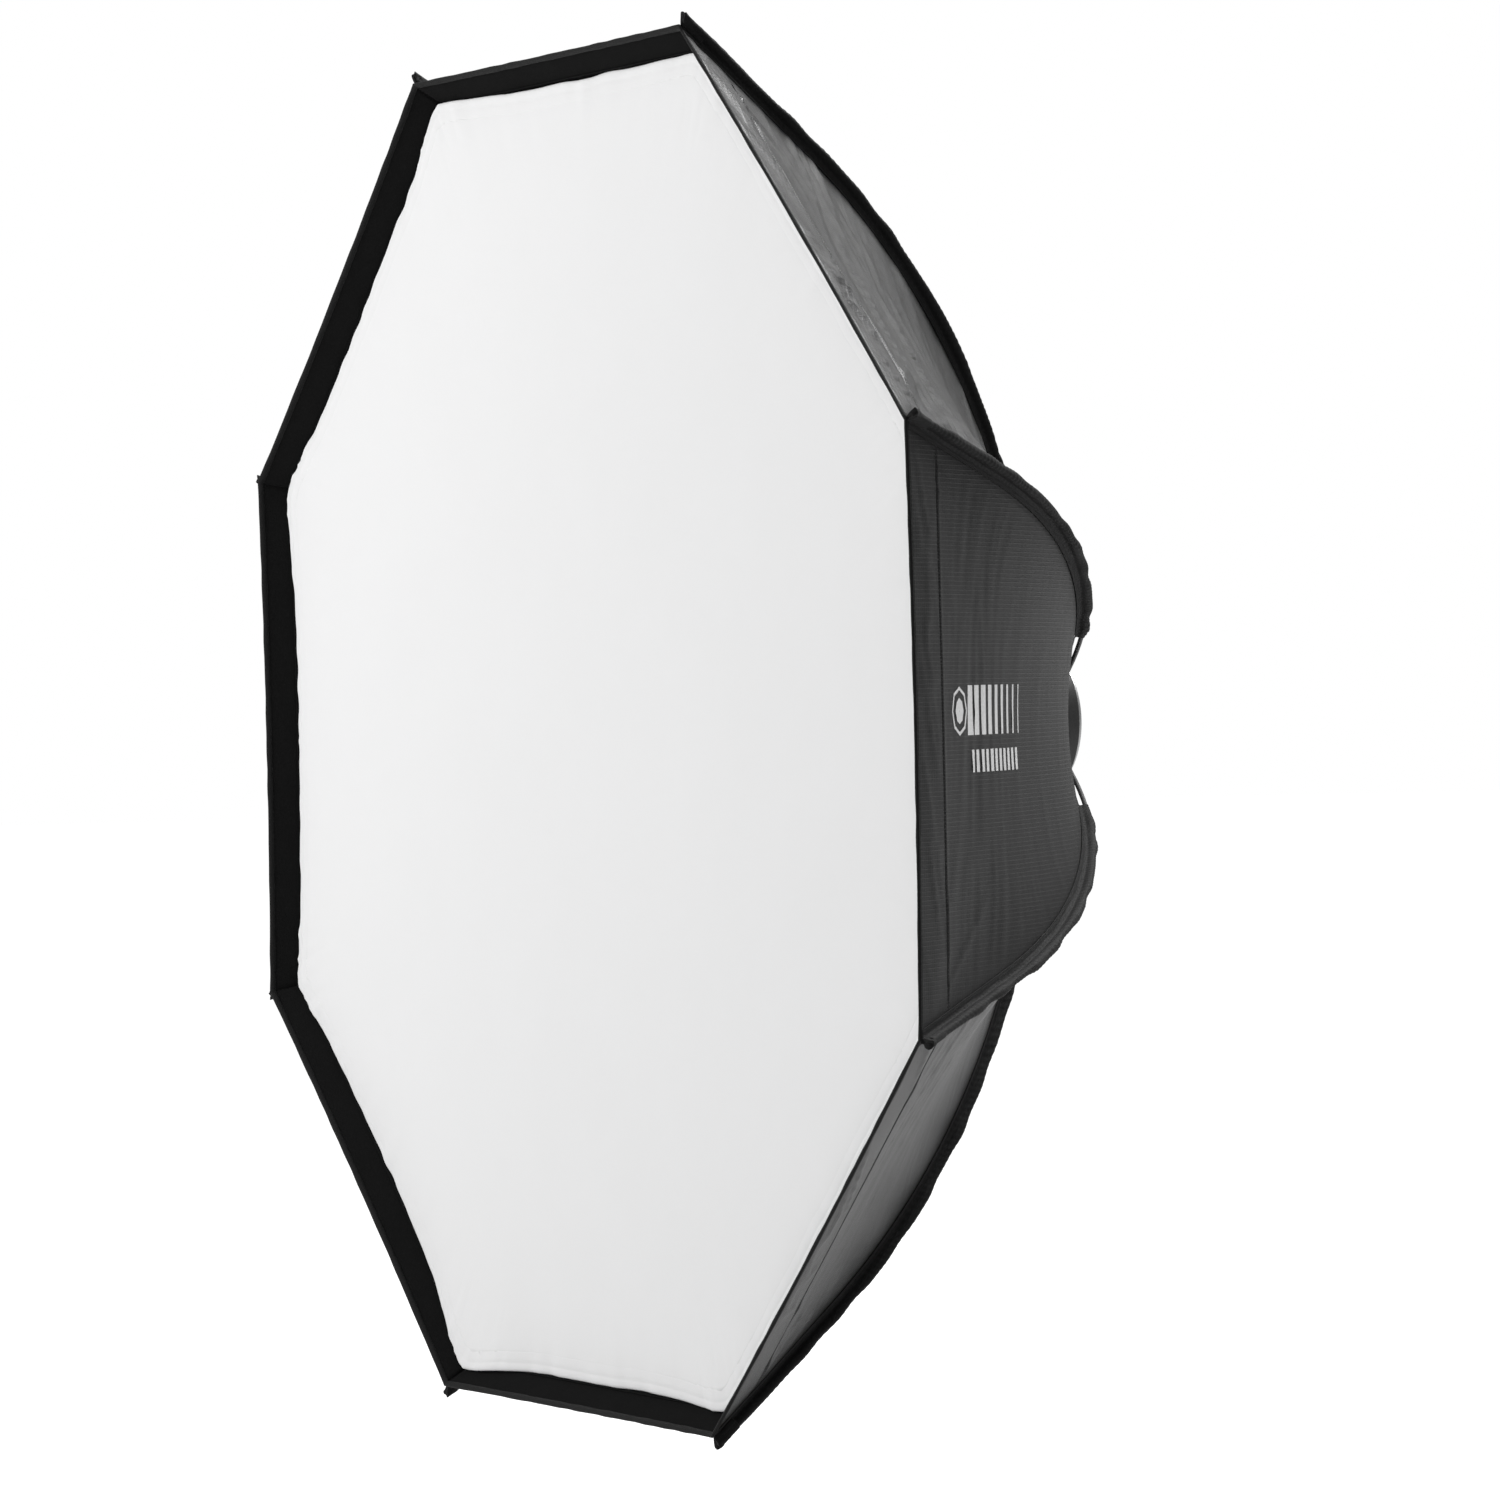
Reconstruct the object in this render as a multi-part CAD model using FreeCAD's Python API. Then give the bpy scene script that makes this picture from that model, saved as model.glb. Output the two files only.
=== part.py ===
"""Octagonal studio softbox, 1.5 m across, in millimetres.

The row's origin is the centre of the light mount, on its mounting face. +Y is the mount's axis, pointing
to the flash head; the light leaves towards -Y; +Z is up. Eight flexible steel rods plug into a cast
speedring, run outside the fabric in sewn sleeves, and end in pockets at the corners of the front rim.

Each rod lies in a plane through the Y axis. Its centre line is a straight run out of the socket, one
gentle arc, and a straight run to the rim. In that plane x is the radius from the axis.
"""
import FreeCAD
import Part
import math
import os

V = FreeCAD.Vector

# ---- driving dimensions ----
SIDES = 8
SECTOR = 360 / SIDES
FIRST_RIB = SECTOR / 2          # a flat side of the octagon faces +X and another faces up

RIM_Y = -590.0                  # plane of the fabric's front edge
ROD_R = 2.5
ROD_ROOT = (60.0, -22.6)        # radius and y of a point on the rod's line inside the speedring
ROOT_ANGLE = 19.7               # the rod's slope at the socket, from radial
TIP_ANGLE = 53.9                # the rod's slope at the rim, from radial
BEND_START_R = 140.1            # radius at which the arc begins
BEND_RADIUS = 1065.5
SHELL_OFFSET = -8.6             # fabric's outer face at a corner, measured from the rod's centre line
FABRIC = 1.2
SEAM_GAP = 0.15                 # half the gap between two neighbouring panels

SLEEVE_WIDTH = 8.0
SLEEVE_TOP = 5.5
SLEEVE_BOTTOM = -8.2
SLEEVE_BORE = 3.0
SLEEVE_START_R = 233.0
POCKET_LENGTH = 30.0
POCKET_WIDTH = 9.4
POCKET_TOP = 6.0
POCKET_OVERHANG = 6.0           # how far the pocket's outer edge runs past the rim, along the rod
ROD_END_SHORT = 11.0            # the rod stops this far before the rim plane, along the rod
TIP_CAP_R = 3.5
TIP_CAP_LENGTH = 14.0

NECK = (90.0, -53.0)            # corner radius and y of the shell's rear edge
NECK_JOIN_R = 213.0             # corner radius where the rear run of the shell leaves the rods

BORE_R = 46.0
SPIGOT_R = 49.0
SPIGOT_LENGTH = 14.0
LUG_R = 56.5
LUG_Y = (8.0, 12.0)
LUG_HALF_ANGLE = 16.0
LUGS = 3
FLANGE_R = 76.0
FLANGE_T = 6.0
COLLAR_R = 56.0
RING_BACK_Y = -7.0
RING_FRONT_Y = -37.0
RING_R = 84.0
NOSE_R = (76.0, 80.0)
NOSE_Y = -52.0
BUSH_T = 2.0
RUN_GAP = 0.05                  # radial running clearance of the bush on the collar
GLIDE_GAP = 0.1
RETAINER_T = 4.0
RETAINER_R = 68.0

SOCKET_R = 5.5
SOCKET_BORE = 2.8
SOCKET_SPAN = (74.0, 112.0)     # radii between which a socket tube lies
SOCKET_FLOOR = 3.0
BOSS_R = 9.0
BOSS_END_R = 93.0

KNOB_ANGLES = (90.0, 270.0)
KNOB_Y = -22.0
KNOB_R = 13.0
KNOB_SPAN = (96.0, 114.0)
KNOB_NECK = (6.5, 4.0)          # radius and length of the knob's neck
KNOB_FLUTES = 8
FLUTE_R = 3.2
DISH_R = 7.0
DISH_DEPTH = 1.2
STUD_R = 3.0
STUD_SPAN = (56.4, 104.0)
KNOB_BOSS_END = 91.0

LOOP_T = 1.5
LOOP_Y = -534.0                 # rear edge of the loop tape inside the lip
HOOK_T = 1.2
HOOK_Y = -537.0
TAPE_GAP = 0.4
DIFFUSER_Y = -562.0
DIFFUSER_T = 1.0
HEM_DEPTH = 3.0
HEM_WIDTH = 7.0

INNER_Y = -330.0
INNER_CORNER_R = 480.0
INNER_CORD_R = 1.5
CLIP_R = 512.0
CLIP_SIZE = (12.0, 4.0, 8.0)    # moulded hook's body, along X, Y and Z
CLIP_STEM = 3.0                 # side of its square stem
LOOP_DEPTH = 7.0                # how far a webbing loop stands inside the seam
LOOP_SIZE = (6.0, 14.0)         # a loop's length along the seam, and its width across it
LOOP_WALL = (1.4, 2.5)          # webbing's thickness in depth, and at the two sides

SCREW_COUNT = 4
SCREW_PCD_R = 51.0
SCREW_R = 1.5
SCREW_HEAD_R = 2.8
SCREW_HEAD_T = 2.0
SCREW_SOCKET_R = 1.1

# ---- the rod's centre line in its plane ----
T0 = math.radians(ROOT_ANGLE)
T1 = math.radians(TIP_ANGLE)
HALF = math.radians(SECTOR / 2)
BEND_START = (BEND_START_R, ROD_ROOT[1] - (BEND_START_R - ROD_ROOT[0]) * math.tan(T0))
BEND_CENTRE = (BEND_START[0] - BEND_RADIUS * math.sin(T0), BEND_START[1] - BEND_RADIUS * math.cos(T0))
BEND_END = (BEND_CENTRE[0] + BEND_RADIUS * math.sin(T1), BEND_CENTRE[1] + BEND_RADIUS * math.cos(T1))
ROOT_RUN = (BEND_START_R - ROD_ROOT[0]) / math.cos(T0)
BEND_RUN = BEND_RADIUS * (T1 - T0)
TIP_RUN = (BEND_END[1] - RIM_Y) / math.sin(T1)
RIM_S = ROOT_RUN + BEND_RUN + TIP_RUN       # distance along the rod from its root to the rim plane


def on_rod(s, d):
    """Point at distance s along the rod's line and d outside it."""
    if s < ROOT_RUN:
        x = ROD_ROOT[0] + s * math.cos(T0) + d * math.sin(T0)
        return V(x, ROD_ROOT[1] - s * math.sin(T0) + d * math.cos(T0), 0)
    if s < ROOT_RUN + BEND_RUN:
        t = T0 + (s - ROOT_RUN) / BEND_RADIUS
        r = BEND_RADIUS + d
        return V(BEND_CENTRE[0] + r * math.sin(t), BEND_CENTRE[1] + r * math.cos(t), 0)
    run = s - ROOT_RUN - BEND_RUN
    x = BEND_END[0] + run * math.cos(T1) + d * math.sin(T1)
    return V(x, BEND_END[1] - run * math.sin(T1) + d * math.cos(T1), 0)


def s_at_radius(r):
    """Distance along the rod's line at which it reaches a radius on its root run or its arc."""
    if r < BEND_START_R:
        return (r - ROD_ROOT[0]) / math.cos(T0)
    return ROOT_RUN + BEND_RADIUS * (math.asin((r - BEND_CENTRE[0]) / BEND_RADIUS) - T0)


def radius_at(y, d):
    """Corner radius of the surface d outside the rods where it crosses the plane y."""
    if y < BEND_END[1]:
        return BEND_END[0] + (BEND_END[1] - y) / math.tan(T1) + d / math.sin(T1)
    r = BEND_RADIUS + d
    return BEND_CENTRE[0] + math.sqrt(r * r - (y - BEND_CENTRE[1]) ** 2)


def line_along(d, s0, s1, squeeze=1.0):
    """Edges of the line d outside the rod from s0 to s1; squeeze scales its radii."""
    def place(s):
        p = on_rod(s, d)
        return V(p.x * squeeze, p.y, 0)

    stations = [s0] + [s for s in (ROOT_RUN, ROOT_RUN + BEND_RUN) if s0 + 0.01 < s < s1 - 0.01] + [s1]
    edges = []
    for a, b in zip(stations, stations[1:]):
        middle = (a + b) / 2
        if ROOT_RUN < middle < ROOT_RUN + BEND_RUN:
            edges.append(Part.Arc(place(a), place(middle), place(b)).toShape())
        else:
            edges.append(Part.LineSegment(place(a), place(b)).toShape())
    return edges


def strip(d0, d1, s0, s1, squeeze=1.0):
    """Flat face in the rod's plane between the lines d0 and d1."""
    low = line_along(d0, s0, s1, squeeze)
    high = line_along(d1, s0, s1, squeeze)
    ends = [Part.LineSegment(low[i].Vertexes[j].Point, high[i].Vertexes[j].Point).toShape()
            for i, j in ((0, 0), (-1, -1))]
    return Part.Face(Part.Wire(Part.__sortEdges__(low + high + ends)))


def slab(face, width):
    """A face of the rod's plane made width thick, half on each side."""
    return face.translated(V(0, 0, -width / 2)).extrude(V(0, 0, width))


def tube_along(radius, s0, s1):
    """Round bar along the rod's centre line."""
    path = Part.Wire(line_along(0, s0, s1))
    ahead = on_rod(s0 + 1, 0) - on_rod(s0, 0)
    ring = Part.Wire(Part.makeCircle(radius, on_rod(s0, 0), ahead))
    return path.makePipeShell([ring], True, True)


def front_half(y):
    """Everything behind the plane y, as a box."""
    return Part.makeBox(3000, 3000, 3000, V(-1500, y, -1500))


def sector(half, gap=0.0):
    """Everything within an angle half on each side of +X, kept gap inside the two planes."""
    apex = gap / math.sin(half)
    far = 1200.0
    side = (far - apex) * math.tan(half)
    outline = Part.makePolygon([V(apex, -700, 0), V(far, -700, side), V(far, -700, -side), V(apex, -700, 0)])
    return Part.Face(outline).extrude(V(0, 800, 0))


def turned(shape, degrees):
    """Shape turned about the Y axis so that +X goes towards +Z."""
    return shape.rotated(V(0, 0, 0), V(0, 1, 0), -degrees)


def rib_angle(k):
    return FIRST_RIB + SECTOR * k


def panel_angle(k):
    return SECTOR * k


def around(shape, angle, count=SIDES):
    """Compound of count copies; angle(k) gives each copy's place."""
    return Part.makeCompound([turned(shape, angle(k)) for k in range(count)])


def revolved(points):
    """Solid of revolution about Y from (radius, y) points."""
    corners = [V(x, y, 0) for x, y in points]
    face = Part.Face(Part.makePolygon(corners + corners[:1]))
    return face.revolve(V(0, 0, 0), V(0, 1, 0), 360)


def annulus(r0, r1, y0, y1):
    return revolved([(r0, y0), (r1, y0), (r1, y1), (r0, y1)])


def octagon(corner_r, y0, y1):
    """Prism whose corners lie in the rod planes."""
    points = []
    for k in range(SIDES + 1):
        a = math.radians(rib_angle(k))
        points.append(V(corner_r * math.cos(a), y0, corner_r * math.sin(a)))
    return Part.Face(Part.makePolygon(points)).extrude(V(0, y1 - y0, 0))


# ---- light mount and speedring ----
def adapter_ring():
    """Three-lug bayonet spigot, flange and the collar that the speedring turns on."""
    chamfer = 1.0
    body = revolved([
        (BORE_R, RING_FRONT_Y - 1), (COLLAR_R, RING_FRONT_Y - 1), (COLLAR_R, -FLANGE_T),
        (FLANGE_R - chamfer, -FLANGE_T), (FLANGE_R, -FLANGE_T + chamfer), (FLANGE_R, -chamfer),
        (FLANGE_R - chamfer, 0), (SPIGOT_R, 0), (SPIGOT_R, SPIGOT_LENGTH - chamfer),
        (SPIGOT_R - chamfer, SPIGOT_LENGTH), (BORE_R, SPIGOT_LENGTH)])
    lug = annulus(SPIGOT_R - 0.5, LUG_R, *LUG_Y).common(sector(math.radians(LUG_HALF_ANGLE)))
    for k in range(LUGS):
        body = body.fuse(turned(lug, 90 + 360 / LUGS * k))
    for hole in screw_bars(SCREW_R + 0.1, RING_FRONT_Y + 9, RING_FRONT_Y - 2):
        body = body.cut(hole)
    return body.removeSplitter()


def screw_bars(radius, y_in, y_out):
    """Round bars on the retainer screws' circle, from y_in forward to y_out."""
    bars = []
    for k in range(SCREW_COUNT):
        a = math.radians(360 / SCREW_COUNT * (k + 0.5))
        start = V(SCREW_PCD_R * math.cos(a), y_in, SCREW_PCD_R * math.sin(a))
        bars.append(Part.makeCylinder(radius, y_in - y_out, start, V(0, -1, 0)))
    return bars


RETAINER_BACK = RING_FRONT_Y - 1
RETAINER_FRONT = RETAINER_BACK - RETAINER_T


def retainer_ring():
    plate = annulus(BORE_R, RETAINER_R, RETAINER_FRONT, RETAINER_BACK)
    for hole in screw_bars(SCREW_R + 0.1, RETAINER_BACK + 1, RETAINER_FRONT - 1):
        plate = plate.cut(hole)
    return plate


def retainer_screws():
    """Cap screws with a round socket in the head."""
    shanks = screw_bars(SCREW_R, RING_FRONT_Y + 8, RETAINER_FRONT)
    end = RETAINER_FRONT - SCREW_HEAD_T
    heads = screw_bars(SCREW_HEAD_R, RETAINER_FRONT, end)
    recesses = screw_bars(SCREW_SOCKET_R, RETAINER_FRONT - SCREW_HEAD_T / 2, end - 1)
    return Part.makeCompound([a.fuse(b).cut(c).removeSplitter() for a, b, c in zip(shanks, heads, recesses)])


def glide_washer(back):
    """Thin nylon washer between the speedring and the flange, or the retainer."""
    if back:
        return annulus(COLLAR_R + 1, FLANGE_R - 2, RING_BACK_Y, -FLANGE_T - GLIDE_GAP)
    return annulus(COLLAR_R + 1, RETAINER_R - 1, RETAINER_BACK + GLIDE_GAP, RING_FRONT_Y)


def turning_bush():
    bush = annulus(COLLAR_R + RUN_GAP, COLLAR_R + BUSH_T, RING_FRONT_Y, RING_BACK_Y)
    for angle in KNOB_ANGLES:
        bush = bush.cut(turned(knob_bar(STUD_R + 0.4, COLLAR_R - 2, COLLAR_R + 6), angle))
    return bush


def socket_bar(radius, r0, r1):
    """Round bar along the rod's root run, between two radii."""
    start = on_rod(s_at_radius(r0), 0)
    end = on_rod(s_at_radius(r1), 0)
    return Part.makeCylinder(radius, (end - start).Length, start, end - start)


def knob_bar(radius, r0, r1):
    return Part.makeCylinder(radius, r1 - r0, V(r0, KNOB_Y, 0), V(1, 0, 0))


def speedring():
    """Cast ring with eight tilted bosses, a nose for the fabric's collar and two knob bosses."""
    edge = 2.0
    inner = COLLAR_R + BUSH_T
    ring = revolved([
        (inner, RING_BACK_Y), (RING_R - edge, RING_BACK_Y), (RING_R, RING_BACK_Y - edge),
        (RING_R, RING_FRONT_Y + edge), (RING_R - edge, RING_FRONT_Y), (NOSE_R[1], RING_FRONT_Y),
        (NOSE_R[1], NOSE_Y), (NOSE_R[0], NOSE_Y), (NOSE_R[0], RING_FRONT_Y), (inner, RING_FRONT_Y)])
    for k in range(SIDES):
        ring = ring.fuse(turned(socket_bar(BOSS_R, 80.0, BOSS_END_R), rib_angle(k)))
    for angle in KNOB_ANGLES:
        ring = ring.fuse(turned(knob_bar(BOSS_R, RING_R - 4, KNOB_BOSS_END), angle))
    for k in range(SIDES):
        ring = ring.cut(turned(socket_bar(SOCKET_R + 0.05, SOCKET_SPAN[0], SOCKET_SPAN[1]), rib_angle(k)))
    for angle in KNOB_ANGLES:
        ring = ring.cut(turned(knob_bar(STUD_R + RUN_GAP, inner - 1, KNOB_BOSS_END + 1), angle))
    return ring


def rod_sockets():
    """Steel tubes, closed at the inner end, that the rods push into."""
    tube = socket_bar(SOCKET_R, SOCKET_SPAN[0], SOCKET_SPAN[1])
    tube = tube.cut(socket_bar(SOCKET_BORE, SOCKET_SPAN[0] + SOCKET_FLOOR, SOCKET_SPAN[1] + 1))
    return around(tube, rib_angle)


def lock_knob():
    """Fluted knob with a dished end and a blind hole for its stud."""
    knob = knob_bar(KNOB_R, KNOB_SPAN[0], KNOB_SPAN[1])
    knob = knob.fuse(knob_bar(KNOB_NECK[0], KNOB_SPAN[0] - KNOB_NECK[1], KNOB_SPAN[0]))
    for k in range(KNOB_FLUTES):
        a = 2 * math.pi * k / KNOB_FLUTES
        y = KNOB_Y + (KNOB_R + 1.0) * math.cos(a)
        z = (KNOB_R + 1.0) * math.sin(a)
        flute = Part.makeCylinder(FLUTE_R, 40, V(KNOB_SPAN[0] - 10, y, z), V(1, 0, 0))
        knob = knob.cut(flute)
    knob = knob.cut(knob_bar(DISH_R, KNOB_SPAN[1] - DISH_DEPTH, KNOB_SPAN[1] + 1))
    return knob.cut(knob_bar(STUD_R + 0.02, KNOB_SPAN[0] - 5, STUD_SPAN[1])).removeSplitter()


def lock_stud():
    return knob_bar(STUD_R, STUD_SPAN[0], STUD_SPAN[1])


# ---- rods ----
ROD_S = (s_at_radius(SOCKET_SPAN[0] + SOCKET_FLOOR + 1), RIM_S - ROD_END_SHORT)


def rib_rod():
    """Round spring-steel rod, from its socket to just short of the rim."""
    return tube_along(ROD_R, *ROD_S)


def rod_tips():
    """Rounded plastic caps on the rods' front ends."""
    s0 = ROD_S[1] - TIP_CAP_LENGTH
    s1 = ROD_S[1] + 2.0
    cap = tube_along(TIP_CAP_R, s0, s1).fuse(Part.makeSphere(TIP_CAP_R, on_rod(s1, 0)))
    cap = cap.cut(tube_along(ROD_R + 0.02, s0 - 1, ROD_S[1] + 0.02))
    return around(cap, rib_angle)


# ---- shell ----
def gore(d0, d1, s0, s1, gap):
    """One flat-sided octagon panel between the lines d0 and d1, kept gap from the rod planes."""
    face = strip(d0, d1, s0, s1, math.cos(HALF))
    return slab(face, 800).common(sector(HALF, gap))


def shell_panel():
    """Panel from the neck's edge to the rim: the rear run, the arc and the front run."""
    squeeze = math.cos(HALF)
    join = s_at_radius(NECK_JOIN_R)
    inner = SHELL_OFFSET - FABRIC
    front = slab(strip(inner, SHELL_OFFSET, join, RIM_S + 20, squeeze), 800)

    def flat(p):
        return V(p.x * squeeze, p.y, 0)

    top, low = flat(on_rod(join, SHELL_OFFSET)), flat(on_rod(join, inner))
    neck_top = V(NECK[0] * squeeze, NECK[1], 0)
    neck_low = V(NECK[0] * squeeze, NECK[1] - FABRIC, 0)
    rear = slab(Part.Face(Part.makePolygon([top, low, neck_low, neck_top, top])), 800)
    panel = front.fuse(rear).removeSplitter().common(sector(HALF, SEAM_GAP))
    return panel.common(front_half(RIM_Y))


def rod_sleeve():
    """Folded sleeve that stands out from a corner seam, with the rod's channel along its outer edge."""
    s0, s1 = s_at_radius(SLEEVE_START_R), RIM_S - POCKET_LENGTH - 0.5
    body = slab(strip(SLEEVE_BOTTOM, SLEEVE_TOP, s0, s1), SLEEVE_WIDTH)
    return body.cut(tube_along(SLEEVE_BORE, s0 - 2, s1 + 2))


def corner_pocket():
    """Webbing pocket at a corner of the rim, closed over the rod's capped tip."""
    s0 = RIM_S - POCKET_LENGTH
    body = slab(strip(SLEEVE_BOTTOM, POCKET_TOP, s0, RIM_S + POCKET_OVERHANG), POCKET_WIDTH)
    body = body.common(front_half(RIM_Y - HEM_DEPTH))
    return body.cut(tube_along(TIP_CAP_R + 0.2, s0 - 1, RIM_S - 4))


def front_hem():
    """Bound edge of the rim, one closed octagonal bead."""
    outer = radius_at(RIM_Y, SHELL_OFFSET)
    ring = octagon(outer, RIM_Y - HEM_DEPTH, RIM_Y)
    return ring.cut(octagon(outer - HEM_WIDTH, RIM_Y - HEM_DEPTH - 1, RIM_Y + 1))


def neck_collar():
    """Elastic collar that closes the shell's rear edge on the speedring's nose."""
    outer = NECK[0] - 0.4
    cup = octagon(outer, NECK[1] - FABRIC, NECK[1] + 6)
    return cup.cut(Part.makeCylinder(NOSE_R[1] + 0.2, 20, V(0, NECK[1] - 10, 0), V(0, 1, 0)))


# ---- lip tapes and front diffuser ----
LOOP_FACE = SHELL_OFFSET - FABRIC - 0.1 - LOOP_T
HOOK_FACE = LOOP_FACE - TAPE_GAP


def s_on_tip(y):
    """Distance along the rod at which the rod's own line crosses the plane y near the rim."""
    return RIM_S - (y - RIM_Y) / math.sin(T1)


def between(shape, y0, y1):
    return shape.common(Part.makeBox(3000, y1 - y0, 3000, V(-1500, y0, -1500)))


def loop_band():
    """Soft loop tape sewn round the inside of the lip, one strip on each side."""
    piece = gore(LOOP_FACE, LOOP_FACE + LOOP_T, s_on_tip(LOOP_Y) - 20, RIM_S + 20, 1.0)
    return around(between(piece, RIM_Y, LOOP_Y), panel_angle)


DIFFUSER_FRONT = DIFFUSER_Y - DIFFUSER_T / 2
DIFFUSER_BACK = DIFFUSER_Y + DIFFUSER_T / 2


def hook_band():
    """Hook tape sewn behind the diffuser's edge; it lies on the loop tape."""
    piece = gore(HOOK_FACE - HOOK_T, HOOK_FACE, s_on_tip(HOOK_Y) - 20, RIM_S + 20, 1.5)
    return around(between(piece, DIFFUSER_BACK, HOOK_Y), panel_angle)


def front_diffuser():
    return octagon(radius_at(DIFFUSER_FRONT, HOOK_FACE) - 0.3, DIFFUSER_FRONT, DIFFUSER_BACK)


# ---- inner diffuser ----
def inner_diffuser():
    """Second diffuser half-way back, with a hole in each corner for its cord."""
    sheet = octagon(INNER_CORNER_R, INNER_Y - DIFFUSER_T / 2, INNER_Y + DIFFUSER_T / 2)
    hole = Part.makeCylinder(3.0, 10, V(INNER_CORNER_R - 12, INNER_Y - 5, 0), V(0, 1, 0))
    for k in range(SIDES):
        sheet = sheet.cut(turned(hole, rib_angle(k)))
    return sheet


def inner_cords():
    """Elastic cords from the inner diffuser's corners to their hooks."""
    start = INNER_CORNER_R + 0.2
    cord = Part.makeCylinder(INNER_CORD_R, CLIP_R - 0.2 - start, V(start, INNER_Y, 0), V(1, 0, 0))
    return around(cord, rib_angle)


LOOP_ROOT = SHELL_OFFSET - FABRIC - 0.3


def inner_clips():
    """Moulded hooks at the ends of the cords."""
    length, depth, height = CLIP_SIZE
    block = Part.makeBox(length, depth, height, V(CLIP_R, INNER_Y - depth / 2, -height / 2))
    start = CLIP_R + length
    end = radius_at(INNER_Y, LOOP_ROOT - LOOP_DEPTH) - CLIP_STEM
    stem = Part.makeBox(end - start, CLIP_STEM, CLIP_STEM, V(start, INNER_Y - CLIP_STEM / 2, -CLIP_STEM / 2))
    return around(block.fuse(stem).removeSplitter(), rib_angle)


def seam_loops():
    """Webbing loops sewn across the corner seams for the hooks."""
    turn = math.acos((INNER_Y - BEND_CENTRE[1]) / BEND_RADIUS)
    s = ROOT_RUN + BEND_RADIUS * (turn - T0)
    inner, reach = LOOP_ROOT - LOOP_DEPTH, LOOP_SIZE[0] / 2
    loop = slab(strip(inner, LOOP_ROOT, s - reach, s + reach), LOOP_SIZE[1])
    eye = strip(inner + LOOP_WALL[0], LOOP_ROOT - LOOP_WALL[0], s - 2 * reach, s + 2 * reach)
    loop = loop.cut(slab(eye, LOOP_SIZE[1] - 2 * LOOP_WALL[1]))
    # the outer edges are trimmed to the panels, which fall away from the seam
    room = gore(inner - 20, LOOP_ROOT, s - 30, s + 30, 0.0)
    both = turned(room, SECTOR / 2).fuse(turned(room, -SECTOR / 2)).removeSplitter()
    return around(loop.common(both), rib_angle)


def write(name, shape):
    if not shape.isValid():
        print("not valid:", name)
    shape.exportStep("parts/" + name + ".step")
    print("%-18s solids %2d  volume %10.0f mm3" % (name, len(shape.Solids), shape.Volume))


os.makedirs("parts", exist_ok=True)
write("adapter_ring", adapter_ring())
write("retainer_ring", retainer_ring())
write("retainer_screws", retainer_screws())
write("rear_glide_washer", glide_washer(True))
write("front_glide_washer", glide_washer(False))
write("turning_bush", turning_bush())
write("speedring", speedring())
write("rod_sockets", rod_sockets())
write("rod_tips", rod_tips())
for number, angle in enumerate(KNOB_ANGLES, 1):
    write("lock_knob_%d" % number, turned(lock_knob(), angle))
    write("lock_stud_%d" % number, turned(lock_stud(), angle))
repeated = {"rib_rod": (rib_rod(), rib_angle), "rod_sleeve": (rod_sleeve(), rib_angle),
            "corner_pocket": (corner_pocket(), rib_angle), "shell_panel": (shell_panel(), panel_angle)}
for name, (shape, angle) in repeated.items():
    for k in range(SIDES):
        write("%s_%d" % (name, k + 1), turned(shape, angle(k)))
write("front_hem", front_hem())
write("neck_collar", neck_collar())
write("loop_band", loop_band())
write("hook_band", hook_band())
write("front_diffuser", front_diffuser())
write("inner_diffuser", inner_diffuser())
write("inner_cords", inner_cords())
write("inner_clips", inner_clips())
write("seam_loops", seam_loops())
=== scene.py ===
"""Looks of an octagonal studio softbox, 1.5 m across, in metres.

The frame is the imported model's: the origin is the centre of the light mount, +Y points to the flash head,
the light leaves towards -Y and +Z is up. Eight rods lie in planes through the Y axis, 45 degrees apart.
A panel of cloth spans each pair of neighbouring rods.
"""
import math

import bpy
import numpy as np
from mathutils import Matrix, Vector


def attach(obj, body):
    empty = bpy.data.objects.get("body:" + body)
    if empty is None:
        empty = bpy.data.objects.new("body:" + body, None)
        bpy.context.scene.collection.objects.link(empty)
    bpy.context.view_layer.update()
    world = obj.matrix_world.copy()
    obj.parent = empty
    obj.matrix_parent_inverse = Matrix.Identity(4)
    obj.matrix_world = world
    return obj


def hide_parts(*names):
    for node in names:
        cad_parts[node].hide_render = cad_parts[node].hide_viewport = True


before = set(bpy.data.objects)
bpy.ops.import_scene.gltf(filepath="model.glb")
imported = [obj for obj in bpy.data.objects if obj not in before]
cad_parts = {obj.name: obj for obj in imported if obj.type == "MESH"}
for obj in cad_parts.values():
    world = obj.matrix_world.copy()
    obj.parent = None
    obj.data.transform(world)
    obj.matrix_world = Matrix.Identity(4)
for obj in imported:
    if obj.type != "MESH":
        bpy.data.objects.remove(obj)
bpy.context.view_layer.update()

# ---- driving dimensions, the same as the frame's ----
SIDES = 8
SECTOR = 2 * math.pi / SIDES
HALF = SECTOR / 2

RIM_Y = -0.590
ROD_ROOT = (0.060, -0.0226)         # radius and y of a point on the rod's line inside the speedring
ROOT_ANGLE = math.radians(19.7)
TIP_ANGLE = math.radians(53.9)
BEND_START_R = 0.1401
BEND_RADIUS = 1.0655
SHELL = -0.0086                     # the cloth's corner line, measured from the rod's centre line
NECK = (0.090, -0.053)              # corner radius and y of the cloth's rear edge
NECK_JOIN_R = 0.213
SLEEVE_START_R = 0.233
POCKET_LENGTH = 0.030
LOOP_Y = -0.534
HOOK_Y = -0.537
DIFFUSER_Y = -0.562
INNER_Y = -0.330
INNER_CORNER_R = 0.480
NOSE_R = 0.080

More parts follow.
